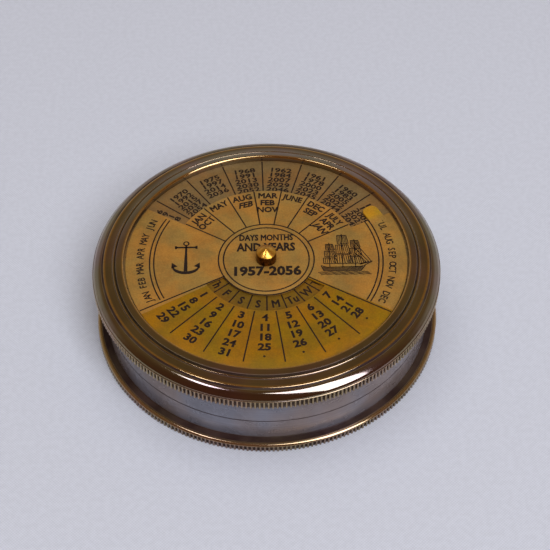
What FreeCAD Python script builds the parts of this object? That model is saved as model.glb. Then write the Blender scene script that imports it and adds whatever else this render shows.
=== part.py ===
import FreeCAD, Part
import os
from math import cos, pi, radians, sin

# Perpetual calendar on the screw lid of a turned brass box, with a compass in the box.
# Millimetres. The origin is the centre of the underside, +Z is up, and +Y is the side
# with the year window. Angles on the dial run clockwise from +Y, as a reader counts them.

# Fits between pieces
TURNING_FIT = 0.05       # radial gap of a shaft that turns in its bore
SEAT_FIT = 0.05          # radial gap of a piece set into its seat
THREAD_FIT = 0.1         # radial gap between the neck and the inside of the lid
LID_SEAT_GAP = 0.02      # gap under the lid where it lands on the shoulder of the base
PLATE_GAP = 0.05         # gap under the date plate and under the spindle's collar

# Dial plates and the ring that holds them
DATE_PLATE_RADIUS = 30.3
DATE_PLATE_THICKNESS = 0.45
YEAR_PLATE_THICKNESS = 0.5
RING_RUNNING_GAP = 0.4
RING_WIDTH = 2.15
RING_STAND = 1.0         # height of the ring's inner edge above the date plate
RING_SLOPE = 0.3         # fall of the ring's top towards its outer edge

# Windows of the date plate: depths from its edge, and angles on the plate itself
PLATE_TURN = 1.5         # the plate's own twelve o'clock, clockwise from +Y at rest
YEAR_WINDOW_DEPTH = 9.6
YEAR_WINDOW_START = -60.7
YEAR_WINDOW_END = 62.6
WEEKDAY_WINDOW_RADIUS = 10.3
WEEKDAY_WINDOW_WIDTH = 4.3
WEEKDAY_START = 121.2
WEEKDAY_END = 240.6
TONGUE_EDGE = 1.4        # from the plate's edge to the tongue
TONGUE_WIDTH = 3.9
TONGUE_ANGLE = 6.1       # reach into the window, without its round end
TONGUE_RISE = 0.12

# Lid: skirt, reeded rim, rounded shoulder, cove and sloping face
FACE_WIDTH = 2.1
FACE_RISE = 0.25
FACE_BEAD_WIDTH = 0.5
BEAD_HEIGHT = 0.12
COVE_WIDTH = 1.0
COVE_RISE = 0.45
SHOULDER_WIDTH = 1.35
SHOULDER_RISE = 1.2
RIM_REED_HEIGHT = 1.9
RIM_OVERHANG = 2.2
SKIRT_HEIGHT = 7.0
SKIRT_WALL = 1.9
DIAL_SEAT_DEPTH = 1.35
LID_FLOOR = 1.55

# Base: foot flange, waist, shoulder and neck
FOOT_STAND_OUT = 0.1     # how far the foot reaches past the rim
FOOT_REED_HEIGHT = 1.55
FOOT_BEAD_WIDTH = 0.6
BASE_WAIST = 5.5
NECK_HEIGHT = 4.8
NECK_WALL = 2.1
BASE_FLOOR = 1.5

# Reeding of both rims
REED_COUNT = 240
REED_DEPTH = 0.35
LIP_HEIGHT = 0.25        # plain strip above the reeds
EDGE_BREAK = 0.15        # small bevel that breaks a sharp edge

# Spindle that carries the date plate through the floor of the lid
SPINDLE_RADIUS = 1.25
COLLAR_WIDTH = 1.15
COLLAR_HEIGHT = 0.5
KNOB_RADIUS = 2.2
KNOB_TAPER = 0.2         # how much narrower the knob is at its top
KNOB_HEIGHT = 2.3
KNOB_CONE = 1.0
KNOB_BORE_DEPTH = 1.6
BUSH_WALL = 1.1
BUSH_FLANGE_WIDTH = 1.1
BUSH_FLANGE = 0.5
SPRING_WASHER_WIDTH = 1.8
SPRING_WASHER_RISE = 0.35
SPRING_WASHER_THICKNESS = 0.2
FLAT_WASHER_WIDTH = 1.7
FLAT_WASHER_THICKNESS = 0.4
NUT_ACROSS_FLATS = 4.5
NUT_HEIGHT = 1.2
SPINDLE_TAIL = 0.3       # length of spindle that shows below its nut

# Compass in the base
CARD_THICKNESS = 0.4
SPACER_WALL = 1.2
GLASS_CLEARANCE = 0.4    # from the top of the needle's hub to the glass
GLASS_THICKNESS = 1.2
GLASS_RING_HEIGHT = 0.6
GLASS_RING_WALL = 0.9
GLASS_RING_SEAT = 0.3    # depth of the ring's groove in the wall
GLASS_RING_SPLIT = 1.5
PIVOT_SEAT_WIDTH = 1.25
PIVOT_SEAT_HEIGHT = 0.6
PIVOT_RADIUS = 0.35
PIVOT_HEIGHT = 3.4
PIVOT_POINT = 0.9
NEEDLE_TIP_GAP = 3.95    # from the needle's tips to the spacer ring
NEEDLE_WIDTH = 5.0
NEEDLE_THICKNESS = 0.3
NEEDLE_TIP_WIDTH = 0.6
HUB_SIDE_WALL = 0.55
HUB_TOP_WALL = 0.3
HUB_HEIGHT = 1.9
HUB_FLANGE_WIDTH = 0.8
HUB_FLANGE = 0.3
JEWEL_RADIUS = 0.9
JEWEL_HEIGHT = 0.8
JEWEL_SOCKET = 0.55      # depth of the jewel's conical socket
POINT_GAP = 0.05         # gap between the pivot's point and the jewel

# Radii that follow, from the dial outwards and then inwards through the walls
RING_INNER_RADIUS = DATE_PLATE_RADIUS + RING_RUNNING_GAP
RING_OUTER_RADIUS = RING_INNER_RADIUS + RING_WIDTH
DIAL_SEAT_RADIUS = RING_OUTER_RADIUS + SEAT_FIT
CREST_RADIUS = DIAL_SEAT_RADIUS + FACE_WIDTH
COVE_RADIUS = CREST_RADIUS + COVE_WIDTH
SHOULDER_RADIUS = COVE_RADIUS + SHOULDER_WIDTH
RIM_RADIUS = SHOULDER_RADIUS + EDGE_BREAK
FOOT_RADIUS = RIM_RADIUS + FOOT_STAND_OUT
BODY_RADIUS = RIM_RADIUS - RIM_OVERHANG
LID_BORE_RADIUS = BODY_RADIUS - SKIRT_WALL
NECK_RADIUS = LID_BORE_RADIUS - THREAD_FIT
WELL_RADIUS = NECK_RADIUS - NECK_WALL
COLLAR_RADIUS = SPINDLE_RADIUS + COLLAR_WIDTH
YEAR_PLATE_HOLE = COLLAR_RADIUS + 2 * TURNING_FIT
BUSH_BORE = SPINDLE_RADIUS + TURNING_FIT
BUSH_RADIUS = BUSH_BORE + BUSH_WALL
WASHER_BORE = SPINDLE_RADIUS + SEAT_FIT
PIVOT_HOLE = PIVOT_RADIUS + SEAT_FIT
JEWEL_SEAT_RADIUS = JEWEL_RADIUS + SEAT_FIT
HUB_RADIUS = JEWEL_SEAT_RADIUS + HUB_SIDE_WALL
SPACER_INNER_RADIUS = WELL_RADIUS - SEAT_FIT - SPACER_WALL

# Heights that follow, from the foot up
FOOT_HEIGHT = FOOT_REED_HEIGHT + LIP_HEIGHT + 2 * EDGE_BREAK
SEAM = FOOT_HEIGHT + BASE_WAIST
NECK_TOP = SEAM + NECK_HEIGHT
LID_BOTTOM = SEAM + LID_SEAT_GAP
RIM_BOTTOM = LID_BOTTOM + SKIRT_HEIGHT
RIM_REED_BOTTOM = RIM_BOTTOM + EDGE_BREAK
RIM_TOP = RIM_REED_BOTTOM + RIM_REED_HEIGHT + LIP_HEIGHT
COVE_BOTTOM = RIM_TOP + SHOULDER_RISE
CREST = COVE_BOTTOM + COVE_RISE
FACE_TOP = CREST + FACE_RISE
LID_FLOOR_TOP = FACE_TOP - DIAL_SEAT_DEPTH
LID_CEILING = LID_FLOOR_TOP - LID_FLOOR
YEAR_PLATE_TOP = LID_FLOOR_TOP + YEAR_PLATE_THICKNESS
DATE_PLATE_BOTTOM = YEAR_PLATE_TOP + PLATE_GAP
DATE_PLATE_TOP = DATE_PLATE_BOTTOM + DATE_PLATE_THICKNESS

# Heights of the compass, from the floor of the base up
CARD_TOP = BASE_FLOOR + CARD_THICKNESS
PIVOT_TIP = CARD_TOP + PIVOT_HEIGHT
JEWEL_BOTTOM = PIVOT_TIP + POINT_GAP - JEWEL_SOCKET
JEWEL_TOP = JEWEL_BOTTOM + JEWEL_HEIGHT
HUB_TOP = JEWEL_TOP + HUB_TOP_WALL
HUB_BOTTOM = HUB_TOP - HUB_HEIGHT
NEEDLE_BOTTOM = HUB_BOTTOM + HUB_FLANGE
GLASS_BOTTOM = HUB_TOP + GLASS_CLEARANCE
GLASS_TOP = GLASS_BOTTOM + GLASS_THICKNESS


def point(radius, height):
    return FreeCAD.Vector(radius, 0, height)


def turned(start, *steps):
    """Turn a closed outline about the axis. A step is (radius, height), or an arc
    that ends there and passes through (middle radius, middle height)."""
    edges = []
    here = point(*start)
    for step in list(steps) + [start]:
        there = point(step[0], step[1])
        if len(step) == 4:
            edges.append(Part.Arc(here, point(step[2], step[3]), there).toShape())
        else:
            edges.append(Part.makeLine(here, there))
        here = there
    face = Part.Face(Part.Wire(edges))
    return face.revolve(FreeCAD.Vector(0, 0, 0), FreeCAD.Vector(0, 0, 1), 360)


def disc(radius, bottom, height):
    return Part.makeCylinder(radius, height, FreeCAD.Vector(0, 0, bottom))


def washer(inner, outer, bottom, height):
    return disc(outer, bottom, height).cut(disc(inner, bottom - 1, height + 2))


def on_dial(radius, angle, height=0.0):
    """Point on the dial at an angle clockwise from +Y."""
    turn = radians(angle)
    return FreeCAD.Vector(radius * sin(turn), radius * cos(turn), height)


def dial_sector(inner, outer, start, end, bottom, height):
    """Piece of a ring between two angles clockwise from +Y."""
    middle = (start + end) / 2
    edges = [
        Part.makeLine(on_dial(inner, start, bottom), on_dial(outer, start, bottom)),
        Part.Arc(on_dial(outer, start, bottom), on_dial(outer, middle, bottom),
                 on_dial(outer, end, bottom)).toShape(),
        Part.makeLine(on_dial(outer, end, bottom), on_dial(inner, end, bottom)),
        Part.Arc(on_dial(inner, end, bottom), on_dial(inner, middle, bottom),
                 on_dial(inner, start, bottom)).toShape(),
    ]
    return Part.Face(Part.Wire(edges)).extrude(FreeCAD.Vector(0, 0, height))


def reeded_band(radius, bottom, height):
    """Ring of fine upright ridges, as a straight knurl rolls them."""
    ridges = []
    for i in range(2 * REED_COUNT):
        angle = pi * i / REED_COUNT
        reach = radius if i % 2 == 0 else radius - REED_DEPTH
        ridges.append(FreeCAD.Vector(reach * cos(angle), reach * sin(angle), bottom))
    outline = Part.makePolygon(ridges + [ridges[0]])
    band = Part.Face(outline).extrude(FreeCAD.Vector(0, 0, height))
    return band.cut(disc(radius - 2 * REED_DEPTH, bottom - 1, height + 2))


def base_cup():
    reed_root = FOOT_RADIUS - REED_DEPTH
    reed_top = EDGE_BREAK + FOOT_REED_HEIGHT
    bead_outer = FOOT_RADIUS - 2 * EDGE_BREAK
    bead_inner = bead_outer - FOOT_BEAD_WIDTH
    groove_radius = WELL_RADIUS + GLASS_RING_SEAT
    ring_top = GLASS_TOP + GLASS_RING_HEIGHT + SEAT_FIT
    cup = turned(
        (0, 0),
        (reed_root - EDGE_BREAK, 0),
        (reed_root, EDGE_BREAK),
        (reed_root, reed_top),
        (FOOT_RADIUS, reed_top),
        (FOOT_RADIUS, FOOT_HEIGHT - EDGE_BREAK),
        (bead_outer, FOOT_HEIGHT),
        (bead_outer - BEAD_HEIGHT, FOOT_HEIGHT + BEAD_HEIGHT),
        (bead_inner + BEAD_HEIGHT, FOOT_HEIGHT + BEAD_HEIGHT),
        (bead_inner, FOOT_HEIGHT),
        (BODY_RADIUS, FOOT_HEIGHT),
        (BODY_RADIUS, SEAM - EDGE_BREAK),
        (BODY_RADIUS - EDGE_BREAK, SEAM),
        (NECK_RADIUS, SEAM),
        (NECK_RADIUS, NECK_TOP - 2 * EDGE_BREAK),
        (NECK_RADIUS - 2 * EDGE_BREAK, NECK_TOP),
        (WELL_RADIUS + EDGE_BREAK, NECK_TOP),
        (WELL_RADIUS, NECK_TOP - EDGE_BREAK),
        (WELL_RADIUS, ring_top),
        (groove_radius, ring_top),
        (groove_radius, GLASS_TOP),
        (WELL_RADIUS, GLASS_TOP),
        (WELL_RADIUS, BASE_FLOOR),
        (0, BASE_FLOOR),
    )
    return cup.fuse(reeded_band(FOOT_RADIUS, EDGE_BREAK, FOOT_REED_HEIGHT))


def lid_cap():
    reed_root = RIM_RADIUS - REED_DEPTH
    reed_top = RIM_REED_BOTTOM + RIM_REED_HEIGHT
    bead_inner = DIAL_SEAT_RADIUS + EDGE_BREAK
    bead_outer = bead_inner + FACE_BEAD_WIDTH
    cap = turned(
        (BODY_RADIUS - EDGE_BREAK, LID_BOTTOM),
        (BODY_RADIUS, LID_BOTTOM + EDGE_BREAK),
        (BODY_RADIUS, RIM_BOTTOM),
        (reed_root - EDGE_BREAK, RIM_BOTTOM),
        (reed_root, RIM_REED_BOTTOM),
        (reed_root, reed_top),
        (RIM_RADIUS, reed_top),
        (RIM_RADIUS, RIM_TOP - EDGE_BREAK / 2),
        (SHOULDER_RADIUS, RIM_TOP),
        (COVE_RADIUS, COVE_BOTTOM,
         SHOULDER_RADIUS - 0.3 * SHOULDER_WIDTH, RIM_TOP + 0.72 * SHOULDER_RISE),
        (CREST_RADIUS, CREST,
         CREST_RADIUS + 0.42 * COVE_WIDTH, COVE_BOTTOM + 0.22 * COVE_RISE),
        (bead_outer, FACE_TOP),
        (bead_outer - BEAD_HEIGHT, FACE_TOP + BEAD_HEIGHT),
        (bead_inner + BEAD_HEIGHT, FACE_TOP + BEAD_HEIGHT),
        (DIAL_SEAT_RADIUS, FACE_TOP - EDGE_BREAK),
        (DIAL_SEAT_RADIUS, LID_FLOOR_TOP),
        (BUSH_RADIUS + SEAT_FIT, LID_FLOOR_TOP),
        (BUSH_RADIUS + SEAT_FIT, LID_CEILING),
        (LID_BORE_RADIUS, LID_CEILING),
        (LID_BORE_RADIUS, LID_BOTTOM),
    )
    return cap.fuse(reeded_band(RIM_RADIUS, RIM_REED_BOTTOM, RIM_REED_HEIGHT))


def dial_ring():
    """Ring set into the lid that holds the year plate by its edge."""
    inner_top = DATE_PLATE_TOP + RING_STAND
    outer_top = inner_top - RING_SLOPE
    return turned(
        (RING_INNER_RADIUS, YEAR_PLATE_TOP),
        (RING_OUTER_RADIUS, YEAR_PLATE_TOP),
        (RING_OUTER_RADIUS, outer_top - EDGE_BREAK),
        (RING_OUTER_RADIUS - EDGE_BREAK, outer_top),
        (RING_INNER_RADIUS + EDGE_BREAK, inner_top),
        (RING_INNER_RADIUS, inner_top - EDGE_BREAK),
    )


def year_plate():
    return washer(YEAR_PLATE_HOLE, RING_OUTER_RADIUS, LID_FLOOR_TOP, YEAR_PLATE_THICKNESS)


def tongue():
    """Rounded tab that the date plate reaches into its own year window."""
    outer = DATE_PLATE_RADIUS - TONGUE_EDGE
    inner = outer - TONGUE_WIDTH
    middle = (outer + inner) / 2
    root = YEAR_WINDOW_END + PLATE_TURN
    start = root - TONGUE_ANGLE
    thickness = DATE_PLATE_THICKNESS + TONGUE_RISE
    tab = dial_sector(inner, outer, start, root + TONGUE_ANGLE / 2, DATE_PLATE_BOTTOM, thickness)
    round_end = Part.makeCylinder(TONGUE_WIDTH / 2, thickness,
                                  on_dial(middle, start, DATE_PLATE_BOTTOM))
    return tab.fuse(round_end)


def date_plate():
    beyond = DATE_PLATE_RADIUS + 1
    below = DATE_PLATE_BOTTOM - 1
    through = DATE_PLATE_THICKNESS + 2
    plate = washer(WASHER_BORE, DATE_PLATE_RADIUS, DATE_PLATE_BOTTOM, DATE_PLATE_THICKNESS)
    year_window = dial_sector(DATE_PLATE_RADIUS - YEAR_WINDOW_DEPTH, beyond,
                              YEAR_WINDOW_START + PLATE_TURN, YEAR_WINDOW_END + PLATE_TURN,
                              below, through)
    weekday_window = dial_sector(WEEKDAY_WINDOW_RADIUS,
                                 WEEKDAY_WINDOW_RADIUS + WEEKDAY_WINDOW_WIDTH,
                                 WEEKDAY_START + PLATE_TURN, WEEKDAY_END + PLATE_TURN,
                                 below, through)
    return plate.cut(year_window).cut(weekday_window).fuse(tongue()).removeSplitter()


def turning_knob():
    top = DATE_PLATE_TOP + KNOB_HEIGHT
    top_radius = KNOB_RADIUS - KNOB_TAPER
    bore_top = DATE_PLATE_TOP + KNOB_BORE_DEPTH
    return turned(
        (WASHER_BORE, DATE_PLATE_TOP),
        (KNOB_RADIUS, DATE_PLATE_TOP),
        (top_radius + EDGE_BREAK, top - EDGE_BREAK),
        (top_radius, top),
        (0, top + KNOB_CONE),
        (0, bore_top),
        (WASHER_BORE, bore_top),
    )


def spindle_bush():
    flange_bottom = LID_CEILING - BUSH_FLANGE
    flange_radius = BUSH_RADIUS + BUSH_FLANGE_WIDTH
    return turned(
        (BUSH_BORE, LID_FLOOR_TOP),
        (BUSH_BORE, flange_bottom),
        (flange_radius, flange_bottom),
        (flange_radius, LID_CEILING),
        (BUSH_RADIUS, LID_CEILING),
        (BUSH_RADIUS, LID_FLOOR_TOP),
    )


def washer_heights():
    """Top of the spring washer, then the tops of the flat washer and the nut."""
    spring_top = LID_CEILING - BUSH_FLANGE - PLATE_GAP
    flat_top = spring_top - SPRING_WASHER_RISE - SPRING_WASHER_THICKNESS
    nut_top = flat_top - FLAT_WASHER_THICKNESS
    return spring_top, flat_top, nut_top


def spindle():
    tail = washer_heights()[2] - NUT_HEIGHT - SPINDLE_TAIL
    collar_bottom = DATE_PLATE_BOTTOM - COLLAR_HEIGHT
    top = DATE_PLATE_TOP + KNOB_BORE_DEPTH - SEAT_FIT
    return turned(
        (0, tail),
        (SPINDLE_RADIUS - EDGE_BREAK, tail),
        (SPINDLE_RADIUS, tail + EDGE_BREAK),
        (SPINDLE_RADIUS, collar_bottom),
        (COLLAR_RADIUS, collar_bottom),
        (COLLAR_RADIUS, DATE_PLATE_BOTTOM),
        (SPINDLE_RADIUS, DATE_PLATE_BOTTOM),
        (SPINDLE_RADIUS, top),
        (0, top),
    )


def spring_washer():
    """Dished washer that presses the date plate down and keeps it where it is turned."""
    top = washer_heights()[0]
    low = top - SPRING_WASHER_RISE
    outer = WASHER_BORE + SPRING_WASHER_WIDTH
    return turned(
        (WASHER_BORE, low),
        (outer, top),
        (outer, top - SPRING_WASHER_THICKNESS),
        (WASHER_BORE, low - SPRING_WASHER_THICKNESS),
    )


def flat_washer():
    bottom = washer_heights()[2]
    return washer(WASHER_BORE, WASHER_BORE + FLAT_WASHER_WIDTH, bottom, FLAT_WASHER_THICKNESS)


def spindle_nut():
    bottom = washer_heights()[2] - NUT_HEIGHT
    corner_radius = NUT_ACROSS_FLATS / 2 / cos(pi / 6)
    corners = [on_dial(corner_radius, 60 * i, bottom) for i in range(6)]
    hexagon = Part.Face(Part.makePolygon(corners + [corners[0]]))
    nut = hexagon.extrude(FreeCAD.Vector(0, 0, NUT_HEIGHT))
    return nut.cut(disc(WASHER_BORE, bottom - 1, NUT_HEIGHT + 2))


def compass_card():
    return washer(PIVOT_HOLE, WELL_RADIUS - SEAT_FIT, BASE_FLOOR, CARD_THICKNESS)


def spacer_ring():
    """Sleeve that holds the card down and carries the glass; its bore widens upwards."""
    outer = WELL_RADIUS - SEAT_FIT
    return turned(
        (SPACER_INNER_RADIUS - EDGE_BREAK, CARD_TOP),
        (outer, CARD_TOP),
        (outer, GLASS_BOTTOM),
        (SPACER_INNER_RADIUS + EDGE_BREAK, GLASS_BOTTOM),
    )


def compass_glass():
    return disc(WELL_RADIUS - SEAT_FIT, GLASS_BOTTOM, GLASS_THICKNESS)


def glass_ring():
    """Split ring that springs into its groove above the glass."""
    outer = WELL_RADIUS + GLASS_RING_SEAT - SEAT_FIT
    ring = washer(outer - GLASS_RING_WALL - GLASS_RING_SEAT, outer, GLASS_TOP, GLASS_RING_HEIGHT)
    split = Part.makeBox(outer + 1, GLASS_RING_SPLIT, GLASS_RING_HEIGHT + 2,
                         FreeCAD.Vector(0, -GLASS_RING_SPLIT / 2, GLASS_TOP - 1))
    return ring.cut(split)


def pivot_seat():
    outer = PIVOT_RADIUS + PIVOT_SEAT_WIDTH
    return turned(
        (PIVOT_HOLE, CARD_TOP),
        (outer, CARD_TOP),
        (outer, CARD_TOP + PIVOT_SEAT_HEIGHT / 3),
        (PIVOT_HOLE + EDGE_BREAK, CARD_TOP + PIVOT_SEAT_HEIGHT),
        (PIVOT_HOLE, CARD_TOP + PIVOT_SEAT_HEIGHT),
    )


def pivot_pin():
    return turned(
        (0, BASE_FLOOR),
        (PIVOT_RADIUS, BASE_FLOOR),
        (PIVOT_RADIUS, PIVOT_TIP - PIVOT_POINT),
        (0, PIVOT_TIP),
    )


def needle_blade():
    """Pointed bar that lies north and south, widest at the hub."""
    half_length = SPACER_INNER_RADIUS - NEEDLE_TIP_GAP
    half_width = NEEDLE_WIDTH / 2
    half_tip = NEEDLE_TIP_WIDTH / 2
    outline = [
        (half_width, 0), (half_tip, half_length - half_tip), (0, half_length),
        (-half_tip, half_length - half_tip), (-half_width, 0),
        (-half_tip, half_tip - half_length), (0, -half_length),
        (half_tip, half_tip - half_length),
    ]
    corners = [FreeCAD.Vector(x, y, NEEDLE_BOTTOM) for x, y in outline]
    blade = Part.Face(Part.makePolygon(corners + [corners[0]]))
    blade = blade.extrude(FreeCAD.Vector(0, 0, NEEDLE_THICKNESS))
    return blade.cut(disc(HUB_RADIUS + SEAT_FIT, NEEDLE_BOTTOM - 1, NEEDLE_THICKNESS + 2))


def needle_hub():
    flange_radius = HUB_RADIUS + HUB_FLANGE_WIDTH
    return turned(
        (JEWEL_SEAT_RADIUS, HUB_BOTTOM),
        (flange_radius, HUB_BOTTOM),
        (flange_radius, NEEDLE_BOTTOM),
        (HUB_RADIUS, NEEDLE_BOTTOM),
        (HUB_RADIUS, HUB_TOP - 2 * EDGE_BREAK),
        (HUB_RADIUS - 2 * EDGE_BREAK, HUB_TOP),
        (0, HUB_TOP),
        (0, JEWEL_TOP),
        (JEWEL_SEAT_RADIUS, JEWEL_TOP),
    )


def needle_jewel():
    """Cup of hard stone; the pivot's point runs in its conical socket."""
    return turned(
        (0, JEWEL_TOP),
        (0, JEWEL_BOTTOM + JEWEL_SOCKET),
        (JEWEL_SOCKET, JEWEL_BOTTOM),
        (JEWEL_RADIUS, JEWEL_BOTTOM),
        (JEWEL_RADIUS, JEWEL_TOP),
    )


PIECES = [
    base_cup, compass_card, pivot_seat, pivot_pin, spacer_ring, compass_glass, glass_ring,
    needle_blade, needle_hub, needle_jewel,
    lid_cap, dial_ring, year_plate, spindle_bush,
    date_plate, turning_knob, spindle, spring_washer, flat_washer, spindle_nut,
]

os.makedirs("parts", exist_ok=True)
for make_piece in PIECES:
    name = make_piece.__name__
    shape = make_piece()
    shape.exportStep("parts/" + name + ".step")
    print(name, "valid", shape.isValid(), "solids", len(shape.Solids), "volume", round(shape.Volume, 2))
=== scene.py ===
"""Perpetual calendar on a turned brass box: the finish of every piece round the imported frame."""

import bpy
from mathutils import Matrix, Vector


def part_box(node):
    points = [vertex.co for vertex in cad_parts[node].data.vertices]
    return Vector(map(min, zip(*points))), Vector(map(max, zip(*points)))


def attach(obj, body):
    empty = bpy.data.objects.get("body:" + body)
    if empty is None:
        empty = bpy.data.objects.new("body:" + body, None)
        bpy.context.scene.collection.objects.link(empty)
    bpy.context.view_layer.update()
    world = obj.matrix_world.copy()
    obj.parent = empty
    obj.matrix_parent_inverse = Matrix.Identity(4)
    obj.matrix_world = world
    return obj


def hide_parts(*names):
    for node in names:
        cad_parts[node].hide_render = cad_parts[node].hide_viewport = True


bl_info = {
    "name": "Brass perpetual calendar",
    "version": (1, 0, 0),
    "blender": (4, 5, 0),
    "location": "3D View > Sidebar > Calendar",
    "description": "Turned brass box with a perpetual calendar dial and a compass",
    "category": "Object",
}

import datetime
from math import atan2, ceil, cos, degrees, hypot, pi, radians, sin

import bmesh
import bpy
from bpy.props import FloatProperty, FloatVectorProperty, IntProperty, PointerProperty
from mathutils import Matrix, Vector

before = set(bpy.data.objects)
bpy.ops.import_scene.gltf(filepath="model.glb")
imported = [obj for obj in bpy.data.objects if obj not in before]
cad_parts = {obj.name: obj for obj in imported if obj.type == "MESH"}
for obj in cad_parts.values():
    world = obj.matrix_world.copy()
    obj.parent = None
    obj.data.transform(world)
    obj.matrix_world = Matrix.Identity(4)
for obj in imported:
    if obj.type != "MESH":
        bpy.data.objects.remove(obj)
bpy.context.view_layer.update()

MM = 0.001
SEGMENTS = 288            # steps round a large turned piece
SHARP_ANGLE = radians(34)

# Fits, bevels and small steps, in mm
EDGE_BREAK = 0.15         # bevel of the turned edges
SEAM_BREAK = 0.08         # bevel where the lid meets the base
SEAT_FIT = 0.05           # round a piece in its seat
LID_GAP = 0.02            # under the lid where it lands on the base
BEAD_RISE = 0.12          # height of the bead on the lid's face
JOINT_INSET = 0.45        # the ring's joint with the lid, inwards from the node's edge
INK_HEIGHT = 0.02         # height of the filled etching above the plate
INK_SINK = 0.002          # depth of its foot in the plate

# Heights and radii of the frame's nodes, in mm


def low(node):
    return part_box(node)[0].z / MM


def high(node):
    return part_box(node)[1].z / MM


def reach(node):
    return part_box(node)[1].x / MM


FOOT_RADIUS = reach("base_cup")
NECK_TOP = high("base_cup")
LID_BOTTOM = low("lid_cap")
RIM_RADIUS = reach("lid_cap")
FACE_TOP = high("lid_cap") - BEAD_RISE
SEAM = LID_BOTTOM - LID_GAP
YEAR_TOP = high("year_plate")
DATE_BOTTOM = low("date_plate")
DATE_TOP = low("turning_knob")
DATE_RADIUS = reach("date_plate")
RING_RADIUS = reach("dial_ring") - JOINT_INSET
CARD_TOP = high("compass_card")
GLASS_BOTTOM = low("compass_glass")
GLASS_TOP = high("compass_glass")

# Walls and steps of the turned pieces, in mm
REED_DEPTH = 0.35
REED_SHARE = 0.66         # how much of its pitch a reed fills
FOOT_HEIGHT = 2.1
FOOT_REED_TOP = 1.7
FOOT_BEAD_WIDTH = 0.6
FACE_BEAD_WIDTH = 0.5
BODY_RADIUS = RIM_RADIUS - 2.2
LID_BORE = BODY_RADIUS - 1.9
NECK_RADIUS = LID_BORE - 0.1
WELL_RADIUS = NECK_RADIUS - 2.1
BASE_FLOOR = 1.5
RIM_BOTTOM = LID_BOTTOM + 7.0
RIM_REED_TOP = RIM_BOTTOM + 2.05
RIM_TOP = RIM_REED_TOP + 0.25
LID_FLOOR_TOP = low("year_plate")
LID_CEILING = LID_FLOOR_TOP - 1.55
RING_INNER = DATE_RADIUS + 0.4
THREAD_DEPTH = 0.35
THREAD_PITCH = 1.1
BUSH_RADIUS = 2.45
YEAR_PLATE_HOLE = 2.5
DATE_PLATE_HOLE = 1.3
KNOB_RADIUS = 2.2
KNOB_CONE = 1.0
KNOB_BORE_DEPTH = 1.6
CARD_HOLE = 0.4
SPACER_WALL = 1.25        # with the fit round it

# Layout of the dial. Angles are clockwise from twelve o'clock, in degrees; radii are in mm.
PLATE_TURN = 1.5          # the date plate's own twelve o'clock, from +Y
YEAR_WINDOW_START, YEAR_WINDOW_END = -60.7 + PLATE_TURN, 62.6 + PLATE_TURN
YEAR_WINDOW_RADIUS = DATE_RADIUS - 9.6
WEEKDAY_WINDOW_START, WEEKDAY_WINDOW_END = 121.2 + PLATE_TURN, 240.6 + PLATE_TURN
WEEKDAY_WINDOW_RADII = (10.3, 14.6)
DATE_FAN_START = 120.7 - PLATE_TURN / 2     # from here on the lacquer is the deeper gold
TONGUE_OUTER = DATE_RADIUS - 1.55
TONGUE_WIDTH = 3.5
TONGUE_REACH = 7.9        # degrees that the tongue reaches into the window
TONGUE_LENGTH = 13.0      # degrees from its tip to its root under the plate
TONGUE_CORNER = 1.5
TONGUE_RISE = 0.12
TONGUE_FADE = (61.5, 66.0)     # angles between which it takes on the plate's colour
COLUMN_STEP = 360 / 21    # one column of years, months, dates or weekdays
YEAR_LINE_START = -1.2    # line left of the first year column
WEEKDAY_FRIDAY = 222.9    # middle of a Friday on the year plate
MONTH_LINE_START = -58.5
DATE_MIDDLE = 181.5       # middle of the seven date columns
DATE_STEP = 17.3
FIRST_YEAR = 1957
YEAR_COUNT = 100
MONTH_RADII = (19.1, 16.95, 14.8)
YEAR_RADII = (27.85, 26.3, 24.75, 23.2, 21.65)
DATE_RADII = (16.55, 19.2, 21.8, 24.4, 27.0)
WEEKDAY_RADIUS = 12.45
YEAR_LINE_RADII = (20.4, 30.5)
MONTH_LINE_RADII = (10.4, 20.6)
WEEKDAY_LINE_RADII = (10.0, 14.8)
MIDDLE_RING_RADII = (10.3, 9.22)
BAND_LINE_RADII = (25.1, 24.2)
BAND_TEXT_RADIUS = 27.2
DOT_RADIUS = 0.28
LINE_WIDTH = 0.3
FINE_LINE = 0.16          # lines of the compass card
ROSE_RING_RADII = (19.0, 19.6, 24.6, 28.6)


def linear(hex_colour):
    """sRGB hex to linear red, green, blue and alpha."""
    channels = [int(hex_colour[i:i + 2], 16) / 255 for i in (1, 3, 5)]
    return [c / 12.92 if c <= 0.04045 else ((c + 0.055) / 1.055) ** 2.4 for c in channels] + [1.0]


# Materials

def chosen(field):
    """A colour of the sidebar panel, as a shader socket takes it."""
    return [*getattr(bpy.context.scene.calendar_finish, field), 1.0]


def connect(tree, node, inputs):
    """Set or feed inputs of a node. A value is a number, a colour, or the output that feeds it."""
    for name, value in inputs.items():
        socket = node.inputs[name]
        if isinstance(value, bpy.types.NodeSocket):
            tree.links.new(value, socket)
        else:
            socket.default_value = value


def add(tree, kind, inputs=None, **settings):
    """Add a node with its settings and inputs."""
    node = tree.nodes.new(kind)
    for name, value in settings.items():
        setattr(node, name, value)
    connect(tree, node, inputs or {})
    return node


def start_material(name):
    material = bpy.data.materials.new(name)
    material.use_nodes = True
    tree = material.node_tree
    return material, tree, tree.nodes["Principled BSDF"]


def place(tree):
    """Object coordinates, and the radius, height and clockwise dial angle made from them."""
    coordinates = add(tree, "ShaderNodeTexCoord").outputs["Object"]
    parts = add(tree, "ShaderNodeSeparateXYZ", {"Vector": coordinates}).outputs
    flat = add(tree, "ShaderNodeCombineXYZ", {"X": parts["X"], "Y": parts["Y"]}).outputs[0]
    radius = add(tree, "ShaderNodeVectorMath", {0: flat}, operation="LENGTH").outputs["Value"]
    angle = add(tree, "ShaderNodeMath", {0: parts["X"], 1: parts["Y"]}, operation="ARCTAN2").outputs[0]
    return coordinates, radius, parts["Z"], angle


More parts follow.
